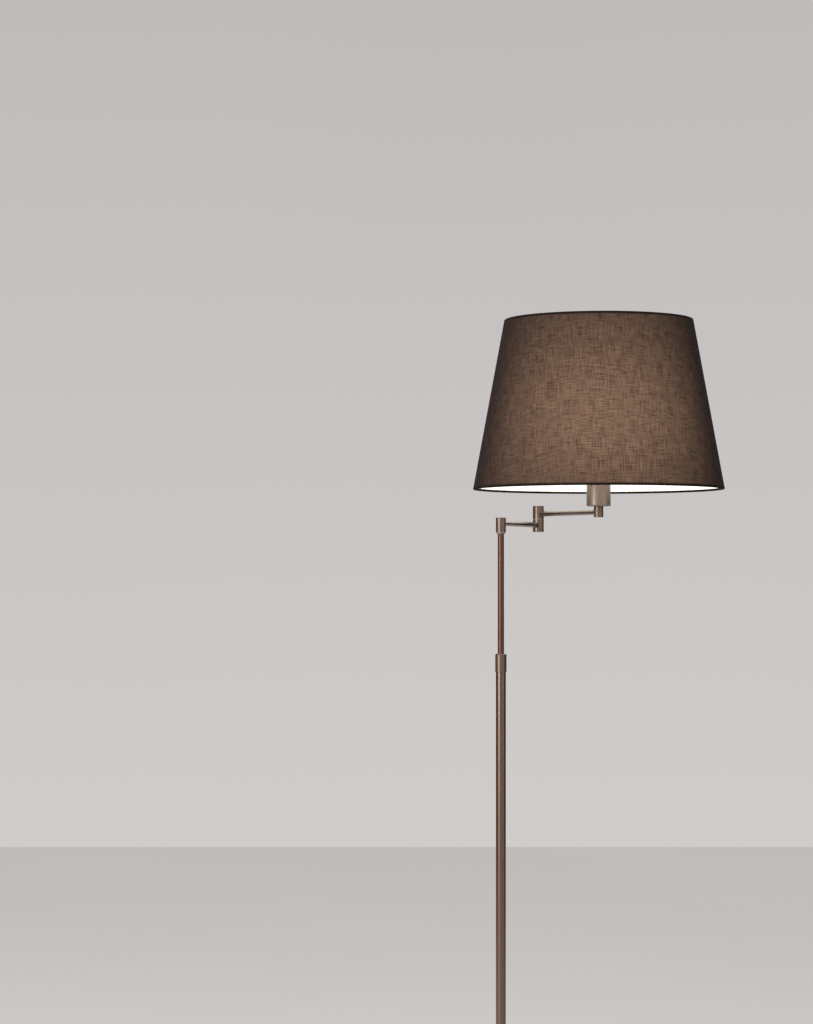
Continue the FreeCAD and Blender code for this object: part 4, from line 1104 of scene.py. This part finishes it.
def dark_flags():
    """Two dark cards beside the lamp, seen only in its metal, which shape its edges."""
    near, far, low, high = -0.5, 4.5, 0.02, 3.4
    for name, x in (("studio_flag_left", -2.9), ("studio_flag_right", 2.9)):
        material, nodes, shader = new_material(name + "_cloth")
        weave = nodes.noise(object_place(nodes), scale=90.0)["Fac"]
        nodes.feed_all(shader, Roughness=1.0, Specular_IOR_Level=0.0, Base_Color=nodes.mix(
            weave, (0.012, 0.012, 0.012, 1), (0.022, 0.022, 0.022, 1)))
        shape = bmesh.new()
        shape.faces.new([shape.verts.new(place) for place in (
            (x, near, low), (x, far, low), (x, far, high), (x, near, high))])
        card = stage_piece(name, shape, material)
        card.visible_camera = card.visible_diffuse = False
        card.visible_shadow = card.visible_transmission = False


def wall_paint(studio):
    """A pale wall that fades a little towards the top as painted shade, and shows at its own
    brightness.
    """
    material, nodes, shader = new_material("studio_wall_paint")
    place = object_place(nodes)
    height = nodes.parts(place)[2]
    cloud = nodes.noise(place, scale=0.5)["Fac"]
    # Painted shade: the wall goes from the lower colour to the darker upper one over its height.
    share = nodes.plus(nodes.span(height, 0.0, 3.4, smooth=False),
                       nodes.linear(cloud, 0.1, -0.05))
    tone = nodes.mix(share, colour(studio.wall_low), colour(studio.wall_high))
    nodes.feed(surface(nodes), nodes.add("ShaderNodeEmission", {"Color": tone, "Strength": 1.0}))
    nodes.tree.nodes.remove(shader)
    return material


def floor_paint(studio):
    """A pale, matt floor with faint unevenness."""
    material, nodes, shader = new_material("studio_floor_paint")
    cloud = nodes.noise(object_place(nodes), scale=0.9, detail=3.0)["Fac"]
    tone = nodes.mix(cloud, scaled(studio.floor_colour, 0.97), scaled(studio.floor_colour, 1.03))
    nodes.feed_all(shader, Base_Color=tone, Roughness=0.8, Specular_IOR_Level=0.1)
    return material


def light_room(studio):
    """An even, neutral room light; the camera and reflections see a pale grey."""
    world = bpy.data.worlds.new("studio_room")
    bpy.context.scene.world = world
    world.use_nodes = True
    world.node_tree.nodes.clear()
    nodes = Tree(world.node_tree)
    path = nodes.add("ShaderNodeLightPath").outputs
    seen = nodes.math("ADD", path["Is Camera Ray"], nodes.plus(
        path["Is Glossy Ray"], path["Is Transmission Ray"]), clamp=True)
    tone = nodes.mix(seen, (1.0, 0.985, 0.97, 1.0), colour(studio.wall_high))
    strength = nodes.add("ShaderNodeMix", {
        "Factor": seen, 2: studio.room_light, 3: 1.0}, data_type="FLOAT")
    room = nodes.add("ShaderNodeBackground", {"Color": tone, "Strength": strength})
    nodes.add("ShaderNodeOutputWorld", {"Surface": room})


def soft_box(name, place, size, power):
    """A rectangular lamp, turned to the middle of the floor lamp."""
    light = bpy.data.lights.new(name, "AREA")
    light.shape = "RECTANGLE"
    light.size, light.size_y = size
    light.energy = power
    box = in_scene(name, light)
    box.location = place
    aim = LAMP_MIDDLE - Vector(place)
    box.rotation_euler = aim.to_track_quat("-Z", "Y").to_euler()


OPERATORS = (
    FLOORLAMP_OT_tubes,
    FLOORLAMP_OT_fittings,
    FLOORLAMP_OT_spinnings,
    FLOORLAMP_OT_works,
    FLOORLAMP_OT_holder,
    FLOORLAMP_OT_bulb,
    FLOORLAMP_OT_shade_frame,
    FLOORLAMP_OT_shade_cover,
    FLOORLAMP_OT_studio,
)


class FLOORLAMP_PT_parts(bpy.types.Panel):
    """The floor lamp's pieces and their settings"""
    bl_idname = "FLOORLAMP_PT_parts"
    bl_label = "Floor Lamp"
    bl_space_type = "VIEW_3D"
    bl_region_type = "UI"
    bl_category = "Floor Lamp"

    def draw(self, context):
        layout = self.layout
        for operator in OPERATORS:
            layout.operator(operator.bl_idname)
        for name, group in SETTINGS.items():
            box = layout.box()
            box.label(text=group.__doc__)
            for setting in group.__annotations__:
                box.prop(getattr(context.scene, name), setting)


def register():
    for group in SETTINGS.values():
        bpy.utils.register_class(group)
    for name, group in SETTINGS.items():
        setattr(bpy.types.Scene, name, bpy.props.PointerProperty(type=group))
    for operator in OPERATORS:
        bpy.utils.register_class(operator)
    bpy.utils.register_class(FLOORLAMP_PT_parts)


def unregister():
    bpy.utils.unregister_class(FLOORLAMP_PT_parts)
    for operator in reversed(OPERATORS):
        bpy.utils.unregister_class(operator)
    for name, group in reversed(SETTINGS.items()):
        delattr(bpy.types.Scene, name)
        bpy.utils.unregister_class(group)


def main():
    register()
    for operator in OPERATORS:
        family, action = operator.bl_idname.split(".")
        getattr(getattr(bpy.ops, family), action)()


if __name__ == "__main__":
    main()
